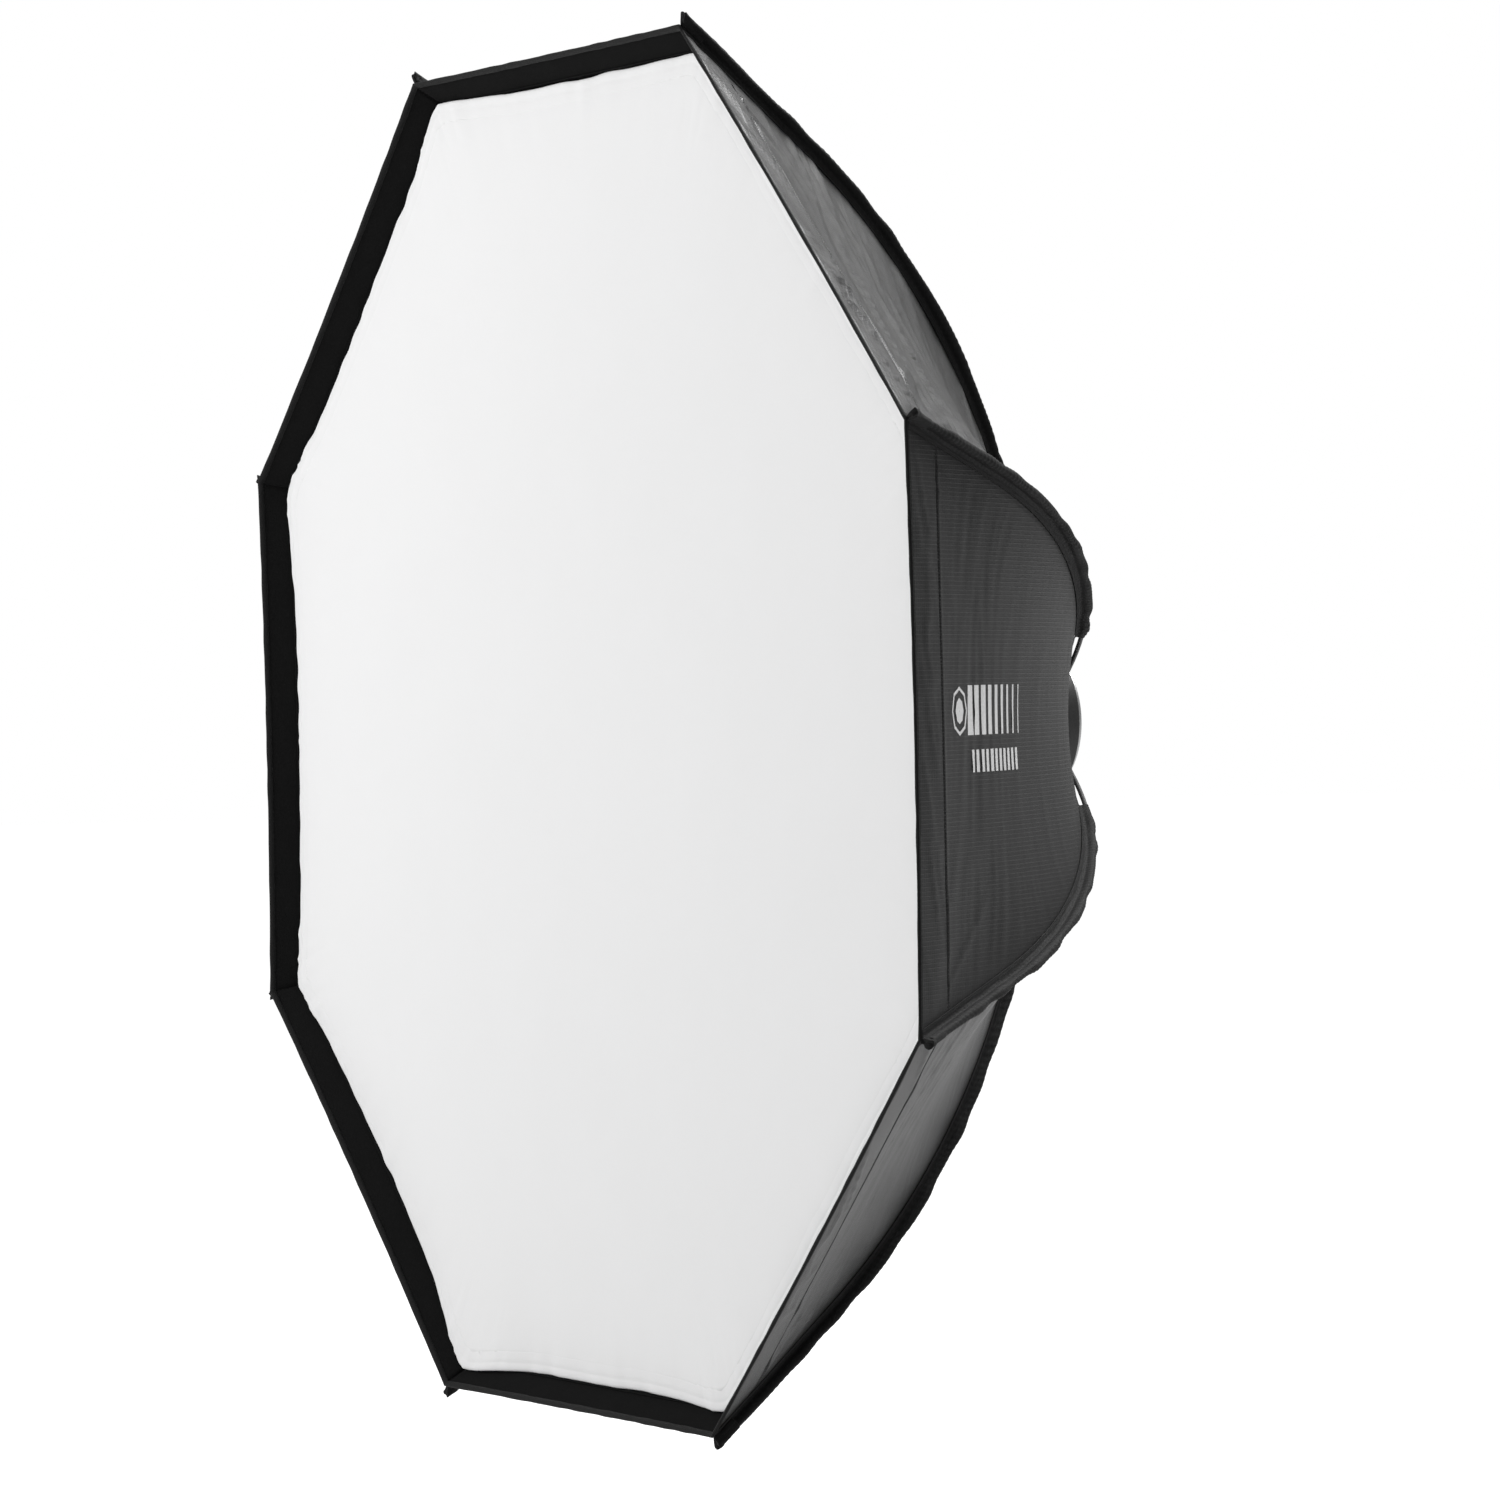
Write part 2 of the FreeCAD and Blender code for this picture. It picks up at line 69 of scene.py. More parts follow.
# ---- dimensions of the soft pieces ----
CLOTH = 0.0005                      # thickness of the outer cloth
LINING_GAP = 0.0035
SAG = 0.145                         # a panel's greatest sag, as a share of its half width
LOOSE = (0.45, 1.8, 0.55, 0.4, 0.5, 0.45, 0.6, 0.8)  # how slack each panel's cloth is
RIM_BOW = 0.003                     # how far a side's middle is pulled back at the rim
LIP = 0.066                         # from the rim back to the seam where the lip's facing ends
SEAM_SIDE = 0.0072                  # distance of a sleeve's seam from the corner line
LOOP_LIFT = -0.0020                 # the loop tape's outer face, from the cloth's outer face
LOOP_THICK = 0.0012
HOOK_LIFT = -0.0036
HOOK_THICK = 0.0010
SHEET_Y = DIFFUSER_Y - 0.004         # the front sheet's face, drawn a little forward by its hem
DIFFUSER_INSET = 0.0062              # the front sheet's corner, inside the cloth's corner line
CORNER_DRAWN = (0.003, 0.003, 0.006, 0.005, 0.006, 0.013, 0.007, 0.003)  # its corners' moves forward
PRINT_LIFT = 0.0003
STITCH = (0.0026, 0.0005, 0.0003)   # a stitch's length, width and height

# heights of the folds in a panel whose slack is 1
LONG_FOLD = 0.0024
FINE_FOLD = 0.0006
STREAK = 0.0034                      # beside the lip's seam
FAN = 0.0030                         # from the two rim corners
LIP_CREASE = 0.0036
SEAM_DENT = 0.0009

# a sleeve's section: distances from the corner line at which its flange lies on the panel, and the side of
# its fin as (half width, distance out from the rod's centre line)
FLANGE = (0.0088, 0.0072, 0.0056, 0.0040)
FIN = [(0.0024, -0.0076), (0.0015, -0.0056), (0.0031, -0.0030), (0.0041, 0.0000), (0.0034, 0.0028)]
SLEEVE_THICK = 0.0006
FRONT_THICK = 0.0006
INNER_THICK = 0.0005

BEND_START_Y = ROD_ROOT[1] - (BEND_START_R - ROD_ROOT[0]) * math.tan(ROOT_ANGLE)
BEND_CENTRE = (BEND_START_R - BEND_RADIUS * math.sin(ROOT_ANGLE),
               BEND_START_Y - BEND_RADIUS * math.cos(ROOT_ANGLE))
ROOT_RUN = (BEND_START_R - ROD_ROOT[0]) / math.cos(ROOT_ANGLE)
BEND_RUN = BEND_RADIUS * (TIP_ANGLE - ROOT_ANGLE)
BEND_END_Y = BEND_CENTRE[1] + BEND_RADIUS * math.cos(TIP_ANGLE)
RIM_S = ROOT_RUN + BEND_RUN + (BEND_END_Y - RIM_Y) / math.sin(TIP_ANGLE)


# ---- lines and surfaces that the pieces share ----
def rod_line(s, out):
    """Radius and y of the point s along a rod's line and out beyond it: straight, an arc, straight."""
    s, out = np.broadcast_arrays(s, out)
    turn = ROOT_ANGLE + np.clip(s - ROOT_RUN, 0, BEND_RUN) / BEND_RADIUS
    straight = np.minimum(s - ROOT_RUN, 0) + np.maximum(s - ROOT_RUN - BEND_RUN, 0)
    r = BEND_CENTRE[0] + (BEND_RADIUS + out) * np.sin(turn) + straight * np.cos(turn)
    y = BEND_CENTRE[1] + (BEND_RADIUS + out) * np.cos(turn) - straight * np.sin(turn)
    return r, y


def s_at_radius(r):
    """Place along a rod's arc where its radius is r."""
    return ROOT_RUN + BEND_RADIUS * (math.asin((r - BEND_CENTRE[0]) / BEND_RADIUS) - ROOT_ANGLE)


def around(angle, r, y, side):
    """Points at a radius and y in the plane at an angle about the Y axis, moved side along its tangent."""
    r, y, side = np.broadcast_arrays(r, y, side)
    c, s = math.cos(angle), math.sin(angle)
    return np.stack([r * c - side * s, y, r * s + side * c], -1)


def rib_angle(k):
    return HALF + SECTOR * k


JOIN_S = s_at_radius(NECK_JOIN_R)
JOIN = tuple(float(v) for v in rod_line(JOIN_S, SHELL))
NECK_RUN = math.hypot(JOIN[0] - NECK[0], JOIN[1] - NECK[1])
PANEL_RUN = NECK_RUN + RIM_S - JOIN_S
LIP_SEAM = 1 - LIP / PANEL_RUN


def corner_line(along):
    """Radius and y of a panel's corner, 0 to 1 from neck to rim: straight to the rods, then beside them."""
    run = along * PANEL_RUN
    r, y = rod_line(JOIN_S + np.maximum(run - NECK_RUN, 0), SHELL)
    share = np.minimum(run / NECK_RUN, 1)
    return NECK[0] + share * (r - NECK[0]), NECK[1] + share * (y - NECK[1])


def back_at(y):
    """Distance back from the rim along a corner, at the height y near the rim."""
    return (y - corner_line(1.0)[1]) / math.sin(TIP_ANGLE)


def noise(x, y, seed):
    """Smooth noise from -1 to 1: random values at whole numbers, joined by cubic steps."""
    table = np.random.default_rng(seed).uniform(-1, 1, (64, 64))
    i, j = np.floor(x).astype(int), np.floor(y).astype(int)
    a, b = x - i, y - j
    a, b = a * a * (3 - 2 * a), b * b * (3 - 2 * b)
    low = table[i % 64, j % 64] * (1 - a) + table[(i + 1) % 64, j % 64] * a
    high = table[i % 64, (j + 1) % 64] * (1 - a) + table[(i + 1) % 64, (j + 1) % 64] * a
    return low * (1 - b) + high * b


def crest(x, y, seed):
    """Noise with sharp crests, 0 to 1: the cube of one less its size."""
    return (1 - np.abs(noise(x, y, seed))) ** 3


def bump_at(x, centre, width):
    """A bell of height 1 about a centre."""
    return np.exp(-((x - centre) / width) ** 2)


def sag_share(along):
    """Share of the full sag along a panel: a half sine from neck to lip's seam, leaning to the neck."""
    return np.sin(np.pi * np.clip(along / LIP_SEAM, 0, 1) ** 0.85) ** 1.1


def fold_height(panel, across, along):
    """Height of a panel's folds: long crests across the panel, streaks beside the lip's seam, fans from
    the two rim corners, a creased lip, and the dents of the lip's seam and of the sleeves' seams."""
    run = along * PANEL_RUN
    r, _ = corner_line(along)
    half = r * math.sin(HALF)
    edge = (1 - np.abs(across)) * half
    inside = 1 - np.exp(-(edge / 0.02) ** 2)
    seed = 100 * panel
    warp = 0.9 * noise(across * 1.6, run / 0.11, seed + 1)
    loose = LOOSE[panel]
    slack = (0.55 + 0.45 * noise(across * 1.3 + 5, run / 0.16, seed + 2)) * loose
    long_folds = LONG_FOLD * slack * (crest(across * 0.9 + 3, run / 0.052 + warp, seed + 3) - 0.4)
    fine_folds = FINE_FOLD * slack * noise(across * 1.7, run / 0.013 + 2 * warp, seed + 4)
    streaks = crest(across * 1.1 + 8, run / 0.017 + 1.5 * warp + 2.5 * across, seed + 9)
    long_folds = long_folds + STREAK * loose * (streaks - 0.25) * bump_at(along, LIP_SEAM - 0.10, 0.13)
    middle = np.sin(np.pi * np.clip(along / LIP_SEAM, 0, 1)) ** 0.4
    height = inside * middle * (long_folds + fine_folds)
    back = (1 - along) * PANEL_RUN
    for hand in (-1, 1):
        near = (1 - hand * across) * half
        reach = np.hypot(near, back)
        fan = crest(5 * np.arctan2(back, near + 0.004) + 7 * hand, reach / 0.25, seed + 5 + hand)
        height = height + inside * FAN * loose * (fan - 0.3) * bump_at(reach, 0.10, 0.09)
    lip = 1 / (1 + np.exp(-(along - LIP_SEAM) * PANEL_RUN / 0.002))
    puff = np.clip(np.sin(np.pi * np.clip((along - LIP_SEAM) / (1 - LIP_SEAM), 0, 1)), 0, 1)
    creases = crest(across * 3 + warp, back / 0.021 + 4 * across, seed + 8)
    height = height * (1 - lip) + lip * puff * inside * (0.0006 + LIP_CREASE * loose * creases)
    height = height - SEAM_DENT * bump_at(back, LIP, 0.0016) * inside
    height = height + 0.0005 * bump_at(back, LIP + 0.004, 0.0025) * inside
    return height - 0.0008 * bump_at(edge, SEAM_SIDE + 0.001, 0.0018)


def shell(panel, across, along, lift=0.0, folded=True):
    """A panel's surface. Across is -1 to 1 from rod plane to rod plane, along 0 to 1 from neck to rim.
    Its points lie on straight chords between the two corner lines, then move along the panel's normal:
    inwards by a parabola across the panel for the sag, and by the folds and the lift."""
    across, along = np.broadcast_arrays(np.asarray(across, float), np.asarray(along, float))
    r, y = corner_line(along)
    r2, y2 = corner_line(along - 0.002)
    mid, half = r * math.cos(HALF), r * math.sin(HALF)
    dx, dy = mid - r2 * math.cos(HALF), y - y2
    size = np.hypot(dx, dy)
    depth = lift - SAG * half * sag_share(along) * (1 - across ** 2)
    if folded:
        depth = depth + fold_height(panel, across, along)
    x = mid - depth * dy / size
    y = y + depth * dx / size + RIM_BOW * (1 - across ** 2) * along ** 12
    return around(SECTOR * panel, x, y, across * half)


# ---- meshes ----
def placed(name, data):
    """A new object in the scene."""
    piece = bpy.data.objects.new(name, data)
    bpy.context.scene.collection.objects.link(piece)
    return piece


def add_mesh(name, points, faces, uv):
    """A new object from points (n, 3) and quads (m, 4); a quad whose last two corners agree is a triangle."""
    mesh = bpy.data.meshes.new(name)
    faces = np.asarray(faces)
    three = faces[:, 2] == faces[:, 3]
    loops = np.concatenate([faces[~three].ravel(), faces[three][:, :3].ravel()]).astype(np.int32)
    totals = np.concatenate([np.full((~three).sum(), 4), np.full(three.sum(), 3)]).astype(np.int32)
    mesh.vertices.add(len(points))
    mesh.vertices.foreach_set("co", np.asarray(points, np.float32).ravel())
    mesh.loops.add(len(loops))
    mesh.loops.foreach_set("vertex_index", loops)
    mesh.polygons.add(len(totals))
    mesh.polygons.foreach_set("loop_start", (np.cumsum(totals) - totals).astype(np.int32))
    mesh.polygons.foreach_set("loop_total", totals)
    mesh.polygons.foreach_set("use_smooth", np.ones(len(totals), bool))
    layer = mesh.uv_layers.new(name="cloth")
    layer.data.foreach_set("uv", np.asarray(uv, np.float32)[loops].ravel())
    mesh.update(calc_edges=True)
    mesh.validate()
    return placed(name, mesh)


def grid_faces(rows, columns, ring=False, start=0):
    """Quads of a grid of points; in a ring the last column meets the first."""
    last = columns if ring else columns - 1
    i, j = np.meshgrid(np.arange(rows - 1), np.arange(last), indexing="ij")
    a = start + i * columns + j
    b = start + i * columns + (j + 1) % columns
    return np.stack([a, b, b + columns, a + columns], -1).reshape(-1, 4)


def thicken(piece, thick):
    """Adds a thickness behind a piece's faces, or in front of them when it is negative."""
    wall = piece.modifiers.new("cloth", "SOLIDIFY")
    wall.thickness = thick
    wall.offset = -1


def grids(name, patches, ring=False, thick=None, turn=False):
    """One object from several grids, each (points (rows, columns, 3), uv (rows, columns, 2)). Turn makes
    the faces look the other way."""
    points, uvs, faces, start = [], [], [], 0
    for grid, uv in patches:
        rows, columns = grid.shape[:2]
        faces.append(grid_faces(rows, columns, ring, start))
        points.append(grid.reshape(-1, 3))
        uvs.append(uv.reshape(-1, 2))
        start += rows * columns
    faces = np.concatenate(faces)
    if turn:
        faces = faces[:, ::-1]
    piece = add_mesh(name, np.concatenate(points), faces, np.concatenate(uvs))
    if thick:
        thicken(piece, thick)
    return piece


def unit(v):
    """Vectors at length 1."""
    return v / np.linalg.norm(v, axis=-1, keepdims=True)


def tube_uv(points):
    """UV of a grid in metres: the way along its first row of sections, and the way down its first column."""
    round_section = np.linalg.norm(np.diff(points, axis=1, prepend=points[:, :1]), axis=-1).cumsum(1)
    along = np.linalg.norm(np.diff(points[:, 0], axis=0, prepend=points[:1, 0]), axis=-1).cumsum()
    return np.stack([round_section, np.broadcast_to(along[:, None], round_section.shape)], -1)


def capped(name, grid):
    """A tube from a ring grid (rows, columns, 3), closed at each end by a fan to its middle."""
    rows, columns = grid.shape[:2]
    points = np.concatenate([grid.reshape(-1, 3), grid[:1].mean(1), grid[-1:].mean(1)])
    faces = grid_faces(rows, columns, ring=True)
    j = np.arange(columns)
    k = (j + 1) % columns
    low = np.full(columns, rows * columns)
    first = np.stack([k, j, low, low], -1)
    end = (rows - 1) * columns
    last = np.stack([end + j, end + k, low + 1, low + 1], -1)
    faces = np.concatenate([faces, first, last])
    uv = tube_uv(grid)
    uv = np.concatenate([uv.reshape(-1, 2), uv[:1].mean(1), uv[-1:].mean(1)])
    return add_mesh(name, points, faces, uv)


def ellipse(wide, high, count=16, power=1.0):
    """Closed section, wide and high its half sizes; a power under 1 squares its corners."""
    a = np.linspace(0, 2 * np.pi, count, endpoint=False)
    c, s = np.cos(a), np.sin(a)
    return np.stack([wide * np.sign(c) * np.abs(c) ** power, high * np.sign(s) * np.abs(s) ** power], -1)


def stitches(name, lines):
    """Thread stitches along lines, each (points (n, 3), normals (n, 3)): two points a stitch, a long
    eight-sided diamond between each pair."""
    length, width, height = STITCH
    centre = np.concatenate([0.5 * (p[:-1] + p[1:]) for p, _ in lines])
    ahead = np.concatenate([unit(p[1:] - p[:-1]) for p, _ in lines])
    out = np.concatenate([0.5 * (n[:-1] + n[1:]) for _, n in lines])
    side = unit(np.cross(ahead, out))
    out = np.cross(side, ahead)
    corners = np.stack([centre + ahead * length / 2, centre + side * width / 2, centre - ahead * length / 2,
                        centre - side * width / 2, centre + out * height, centre - out * height], 1)
    one = np.array([[0, 1, 4, 4], [1, 2, 4, 4], [2, 3, 4, 4], [3, 0, 4, 4],
                    [1, 0, 5, 5], [2, 1, 5, 5], [3, 2, 5, 5], [0, 3, 5, 5]])
    faces = (np.arange(len(centre))[:, None, None] * 6 + one).reshape(-1, 4)
    return add_mesh(name, corners.reshape(-1, 3), faces, np.zeros((len(centre) * 6, 2)))


# ---- materials ----
class Number:
    """A number that varies over a surface; an expression on it adds Math nodes."""

    def __init__(self, finish, socket):
        self.finish = finish
        self.socket = socket

    def __add__(self, other):
        return self.finish.math("ADD", self, other)

    __radd__ = __add__

    def __sub__(self, other):
        return self.finish.math("SUBTRACT", self, other)

    def __rsub__(self, other):
        return self.finish.math("SUBTRACT", other, self)

    def __mul__(self, other):
        return self.finish.math("MULTIPLY", self, other)

    __rmul__ = __mul__

    def __truediv__(self, other):
        return self.finish.math("DIVIDE", self, other)

    def bell(self, period, width):
        """1 on lines one period apart, falling to 0 at width on each side."""
        away = self.finish.math("PINGPONG", self, period / 2)
        return self.finish.math("SMOOTH_MIN", 1 - away / width, 1, 0.2).top()

    def top(self):
        """The number, or 0 where it is negative."""
        return self.finish.math("MAXIMUM", self, 0)


class Finish:
    """A material: its Principled shader, and the nodes that lead to it."""

    def __init__(self, name, **constants):
        self.material = bpy.data.materials.new(name)
        self.material.use_nodes = True
        self.tree = self.material.node_tree
        self.shader = self.tree.nodes["Principled BSDF"]
        self.fill(self.shader, {key.replace("_", " "): value for key, value in constants.items()})

    def fill(self, node, sockets):
        """Gives a node's sockets their values or links."""
        for name, value in sockets.items():
            if isinstance(value, Number):
                self.tree.links.new(value.socket, node.inputs[name])
            elif isinstance(value, bpy.types.NodeSocket):
                self.tree.links.new(value, node.inputs[name])
            else:
                node.inputs[name].default_value = value

    def node(self, kind, settings=None, sockets=None):
        """A node of one kind: its settings first, then the values or links of its sockets."""
        made = self.tree.nodes.new("ShaderNode" + kind)
        for name, value in (settings or {}).items():
            setattr(made, name, value)
        self.fill(made, sockets or {})
        return made

    def math(self, operation, *values):
        made = self.node("Math", {"operation": operation}, dict(enumerate(values)))
        return Number(self, made.outputs[0])

    def mix(self, share, first, second):
        """A colour between two colours."""
        made = self.node("Mix", {"data_type": "RGBA"}, {0: share, 6: first, 7: second})
        return made.outputs[2]

    def cloth_place(self):
        """The piece's UV in metres, as two numbers and a vector."""
        uv = self.node("UVMap", {"uv_map": "cloth"}).outputs[0]
        parts = self.node("SeparateXYZ", None, {0: uv})
        return Number(self, parts.outputs[0]), Number(self, parts.outputs[1]), uv

    def body_place(self):
        return self.node("TexCoord").outputs["Object"]

    def cloud(self, place, scale, detail=2.0, rough=0.5, stretch=None):
        """Noise about 0.5, over a vector scaled by stretch."""
        if stretch:
            place = self.node("VectorMath", {"operation": "MULTIPLY"}, {0: place, 1: stretch}).outputs[0]
        made = self.node("TexNoise", None, {
            "Vector": place, "Scale": scale, "Detail": detail, "Roughness": rough})
        return Number(self, made.outputs["Fac"])

    def surface(self, share, first, second, rough):
        """The shader's colour, mixed from two, and its roughness."""
        self.fill(self.shader, {"Base Color": self.mix(share, first, second), "Roughness": rough})

    def relief(self, height, distance, strength):
        """Bump in metres, which feeds the shader's normal."""
        made = self.node("Bump", None, {"Height": height, "Distance": distance, "Strength": strength})
        self.fill(self.shader, {"Normal": made.outputs[0]})


def grey(value):
    """A neutral colour."""
    return (value, value, value, 1.0)


def weave(finish, pitch):
    """Height of a plain weave: two crossed sets of threads, pitch apart."""
    u, v, _ = finish.cloth_place()
    warp = finish.math("SINE", u * (2 * math.pi / pitch))
    weft = finish.math("SINE", v * (2 * math.pi / pitch))
    return warp * weft * 0.5 + 0.5


def ripstop(name, colour, line, rough, sheen):
    """Coated ripstop: a plain weave with a grid of thicker threads, one cell apart, and faint wear."""
    cell = 0.0042
    finish = Finish(name, Specular_IOR_Level=0.22, Sheen_Weight=sheen, Sheen_Roughness=0.35)
    u, v, uv = finish.cloth_place()
    slant = v + u * 0.035
    ribs = finish.math("MAXIMUM", u.bell(cell, 0.0007), slant.bell(cell, 0.0006) * 0.8)
    patch = finish.cloud(uv, 9.0, 4.0, 0.6)
    streak = finish.cloud(uv, 1.0, 5.0, 0.65, stretch=(6.0, 60.0, 1.0))
    shade = ribs * 0.70 + patch * 0.5 + streak * 0.35
    finish.surface(shade, colour, line, rough + streak * 0.12 - ribs * 0.05)
    weft = weave(finish, 0.0009)
    height = ribs * 0.5 + weft * 0.18 + streak * 0.9
    finish.relief(height, 0.0005, 0.55)
    return finish.material


def plain_weave(name, colour, light, rough, pitch, relief, sheen):
    """Soft woven cloth with uneven threads and a little fluff."""
    finish = Finish(name, Specular_IOR_Level=0.12, Sheen_Weight=sheen, Sheen_Roughness=0.5)
    _, _, uv = finish.cloth_place()
    threads = weave(finish, pitch)
    fluff = finish.cloud(uv, 900.0, 3.0, 0.7)
    patch = finish.cloud(uv, 25.0, 4.0, 0.6)
    finish.surface(threads * 0.4 + patch * 0.4 + fluff * 0.2, colour, light, rough + patch * 0.1)
    finish.relief(threads + fluff * 0.4, relief, 0.6)
    return finish.material


def loop_tape():
    """Brushed loop tape: a dense nap of tiny loops, with rubbed and pressed patches."""
    finish = Finish("loop_tape", Specular_IOR_Level=0.0, Sheen_Weight=0.01, Sheen_Roughness=0.7)
    _, _, uv = finish.cloth_place()
    nap = finish.cloud(uv, 1400.0, 4.0, 0.8)
    tufts = finish.cloud(uv, 300.0, 3.0, 0.6)
    patch = finish.cloud(uv, 16.0, 4.0, 0.6)
    finish.surface(nap * 0.4 + tufts * 0.3 + patch * 0.3, grey(0.006), grey(0.014), 0.85 + nap * 0.1)
    finish.relief(nap + tufts, 0.0008, 0.8)
    return finish.material


def hook_tape():
    """Hook tape: rows of small hooks."""
    finish = Finish("hook_tape", Specular_IOR_Level=0.05)
    u, v, uv = finish.cloth_place()
    hooks = u.bell(0.0016, 0.0005) * v.bell(0.0013, 0.0004)
    finish.surface(hooks * 0.7 + finish.cloud(uv, 40.0) * 0.3, grey(0.003), grey(0.010),
                   0.6 - hooks * 0.2)
    finish.relief(hooks, 0.0009, 0.8)
    return finish.material


def diffuser_cloth():
    """White diffusion cloth: a very fine weave, faint creases from folding, a little lighter where worn."""
    finish = Finish("diffuser_cloth", Specular_IOR_Level=0.25, Sheen_Weight=0.15, Sheen_Roughness=0.6)
    _, _, uv = finish.cloth_place()
    threads = weave(finish, 0.0008)
    creases = finish.cloud(uv, 7.0, 6.0, 0.62)
    specks = finish.cloud(uv, 260.0, 3.0, 0.6)
    finish.surface(creases * 0.6 + specks * 0.4, grey(0.795), (0.835, 0.835, 0.8392, 1.0),
                   0.75 + specks * 0.15)
    finish.relief(threads * 0.3 + creases * 2.0, 0.0006, 0.3)
    return finish.material


def silver_lining():
    """Silver foil cloth: a coarse crush of small facets over a plain weave."""
    finish = Finish("silver_lining", Base_Color=grey(0.78), Metallic=1.0)
    _, _, uv = finish.cloth_place()
    crush = finish.node("TexVoronoi", {"feature": "SMOOTH_F1"}, {
        "Vector": uv, "Scale": 160.0, "Smoothness": 0.4})
    facets = Number(finish, crush.outputs["Distance"])
    soft = finish.cloud(uv, 20.0, 4.0, 0.6)
    finish.fill(finish.shader, {"Roughness": 0.30 + soft * 0.2})
    finish.relief(facets + weave(finish, 0.001) * 0.2, 0.001, 0.5)
    return finish.material


def webbing():
    """Ribbed polyester webbing."""
    finish = Finish("webbing", Specular_IOR_Level=0.15, Sheen_Weight=0.05, Sheen_Roughness=0.45)
    u, v, uv = finish.cloth_place()
    cords = finish.math("SINE", u * (2 * math.pi / 0.0011)) * 0.5 + 0.5
    picks = finish.math("SINE", v * (2 * math.pi / 0.0016) + cords * 2.0) * 0.5 + 0.5
    fluff = finish.cloud(uv, 500.0, 3.0, 0.7)
    finish.surface(cords * 0.3 + picks * 0.3 + fluff * 0.4, grey(0.003), grey(0.012), 0.62 + fluff * 0.2)
    finish.relief(cords * 0.6 + picks * 0.5 + fluff * 0.2, 0.0004, 0.7)
    return finish.material


def solid_webbing():
    """Ribbed webbing for pieces without a cloth map."""
    finish = Finish("webbing_loop", Specular_IOR_Level=0.4)
    place = finish.body_place()
    ribs = finish.cloud(place, 700.0, 2.0, 0.5, stretch=(1.0, 3.0, 1.0))
    finish.surface(ribs, grey(0.007), grey(0.03), 0.6 + ribs * 0.2)
    finish.relief(ribs, 0.0004, 0.6)
    return finish.material


def elastic():
    """Braided white elastic: a fine, uneven braid."""
    finish = Finish("elastic", Specular_IOR_Level=0.3)
    place = finish.body_place()
    braid = finish.cloud(place, 900.0, 2.0, 0.6)
    finish.surface(braid, grey(0.55), grey(0.85), 0.7 + braid * 0.1)
    finish.relief(braid, 0.0005, 0.7)
    return finish.material


def turned_metal(name, dark, light, rough):
    """Machined or cast metal: fine turning lines about the Y axis, a speckle and light rubbing."""
    finish = Finish(name, Metallic=1.0)
    place = finish.body_place()
    lines = finish.cloud(place, 30.0, 3.0, 0.6, stretch=(1.0, 60.0, 1.0))
    specks = finish.cloud(place, 600.0, 3.0, 0.6)
    finish.surface(lines * 0.6 + specks * 0.4, dark, light, rough + lines * 0.15 + specks * 0.05)
    finish.relief(lines + specks * 0.4, 0.00015, 0.5)
    return finish.material


def ring_paint():
    """Powder coat: a fine orange peel, rubbed lighter in patches."""
    finish = Finish("ring_paint", Specular_IOR_Level=0.5, Coat_Weight=0.1, Coat_Roughness=0.4)
    place = finish.body_place()
    peel = finish.cloud(place, 900.0, 2.0, 0.5)
    rub = finish.cloud(place, 45.0, 5.0, 0.65)
    finish.surface(rub * 0.6 + peel * 0.2, grey(0.012), grey(0.035), 0.42 + rub * 0.2)
    finish.relief(peel, 0.0002, 0.6)
    return finish.material


def moulded(name, dark, light, rough):
    """Moulded plastic with a fine spark texture."""
    finish = Finish(name, Specular_IOR_Level=0.45)
    place = finish.body_place()
    grain = finish.cloud(place, 1100.0, 3.0, 0.6)
    rub = finish.cloud(place, 60.0, 4.0, 0.6)
    finish.surface(grain * 0.4 + rub * 0.5, dark, light, rough + rub * 0.15)
    finish.relief(grain, 0.0002, 0.5)
    return finish.material


def rod_finish():
    """Black-painted spring steel, rubbed to bare metal in thin scratches."""
    finish = Finish("rod_finish", Specular_IOR_Level=0.5)
    place = finish.body_place()
    rub = finish.cloud(place, 90.0, 5.0, 0.7)
    bare = finish.math("MINIMUM", ((rub - 0.62) * 8.0).top(), 1)
    finish.surface(bare, grey(0.012), grey(0.30), 0.38 + rub * 0.2)
    finish.fill(finish.shader, {"Metallic": bare * 0.8})
    finish.relief(rub, 0.0001, 0.4)
    return finish.material


def print_ink():
    """Light grey screen print: an even film that lets the weave show."""
    finish = Finish("print_ink", Specular_IOR_Level=0.3)
    _, _, uv = finish.cloth_place()
    film = finish.cloud(uv, 400.0, 3.0, 0.6)
    finish.surface(film, grey(0.52), grey(0.78), 0.55 + film * 0.2)
    finish.relief(film + weave(finish, 0.0009), 0.0002, 0.4)
    return finish.material


def thread(name, dark, light):
    """Twisted sewing thread."""
    finish = Finish(name, Specular_IOR_Level=0.4)
    strands = finish.cloud(finish.body_place(), 2500.0, 2.0, 0.5)
    finish.surface(strands, dark, light, 0.55 + strands * 0.1)
    return finish.material


# ---- soft pieces ----
def finished(piece, material, body, slot, *replaced):
    """Gives a piece its material and body, and hides the solids that it stands for. The slot is not used."""
    piece.data.materials.clear()
    piece.data.materials.append(material)
    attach(piece, body)
    if replaced:
        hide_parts(*replaced)
    return piece


def rows_of_panel(count):
    """Steps from neck to rim, closer together at the lip's seam."""
    seam = LIP_SEAM + np.arange(-5, 6) * 0.0013 / PANEL_RUN
    return np.unique(np.concatenate([np.linspace(0, 1, count), seam]))


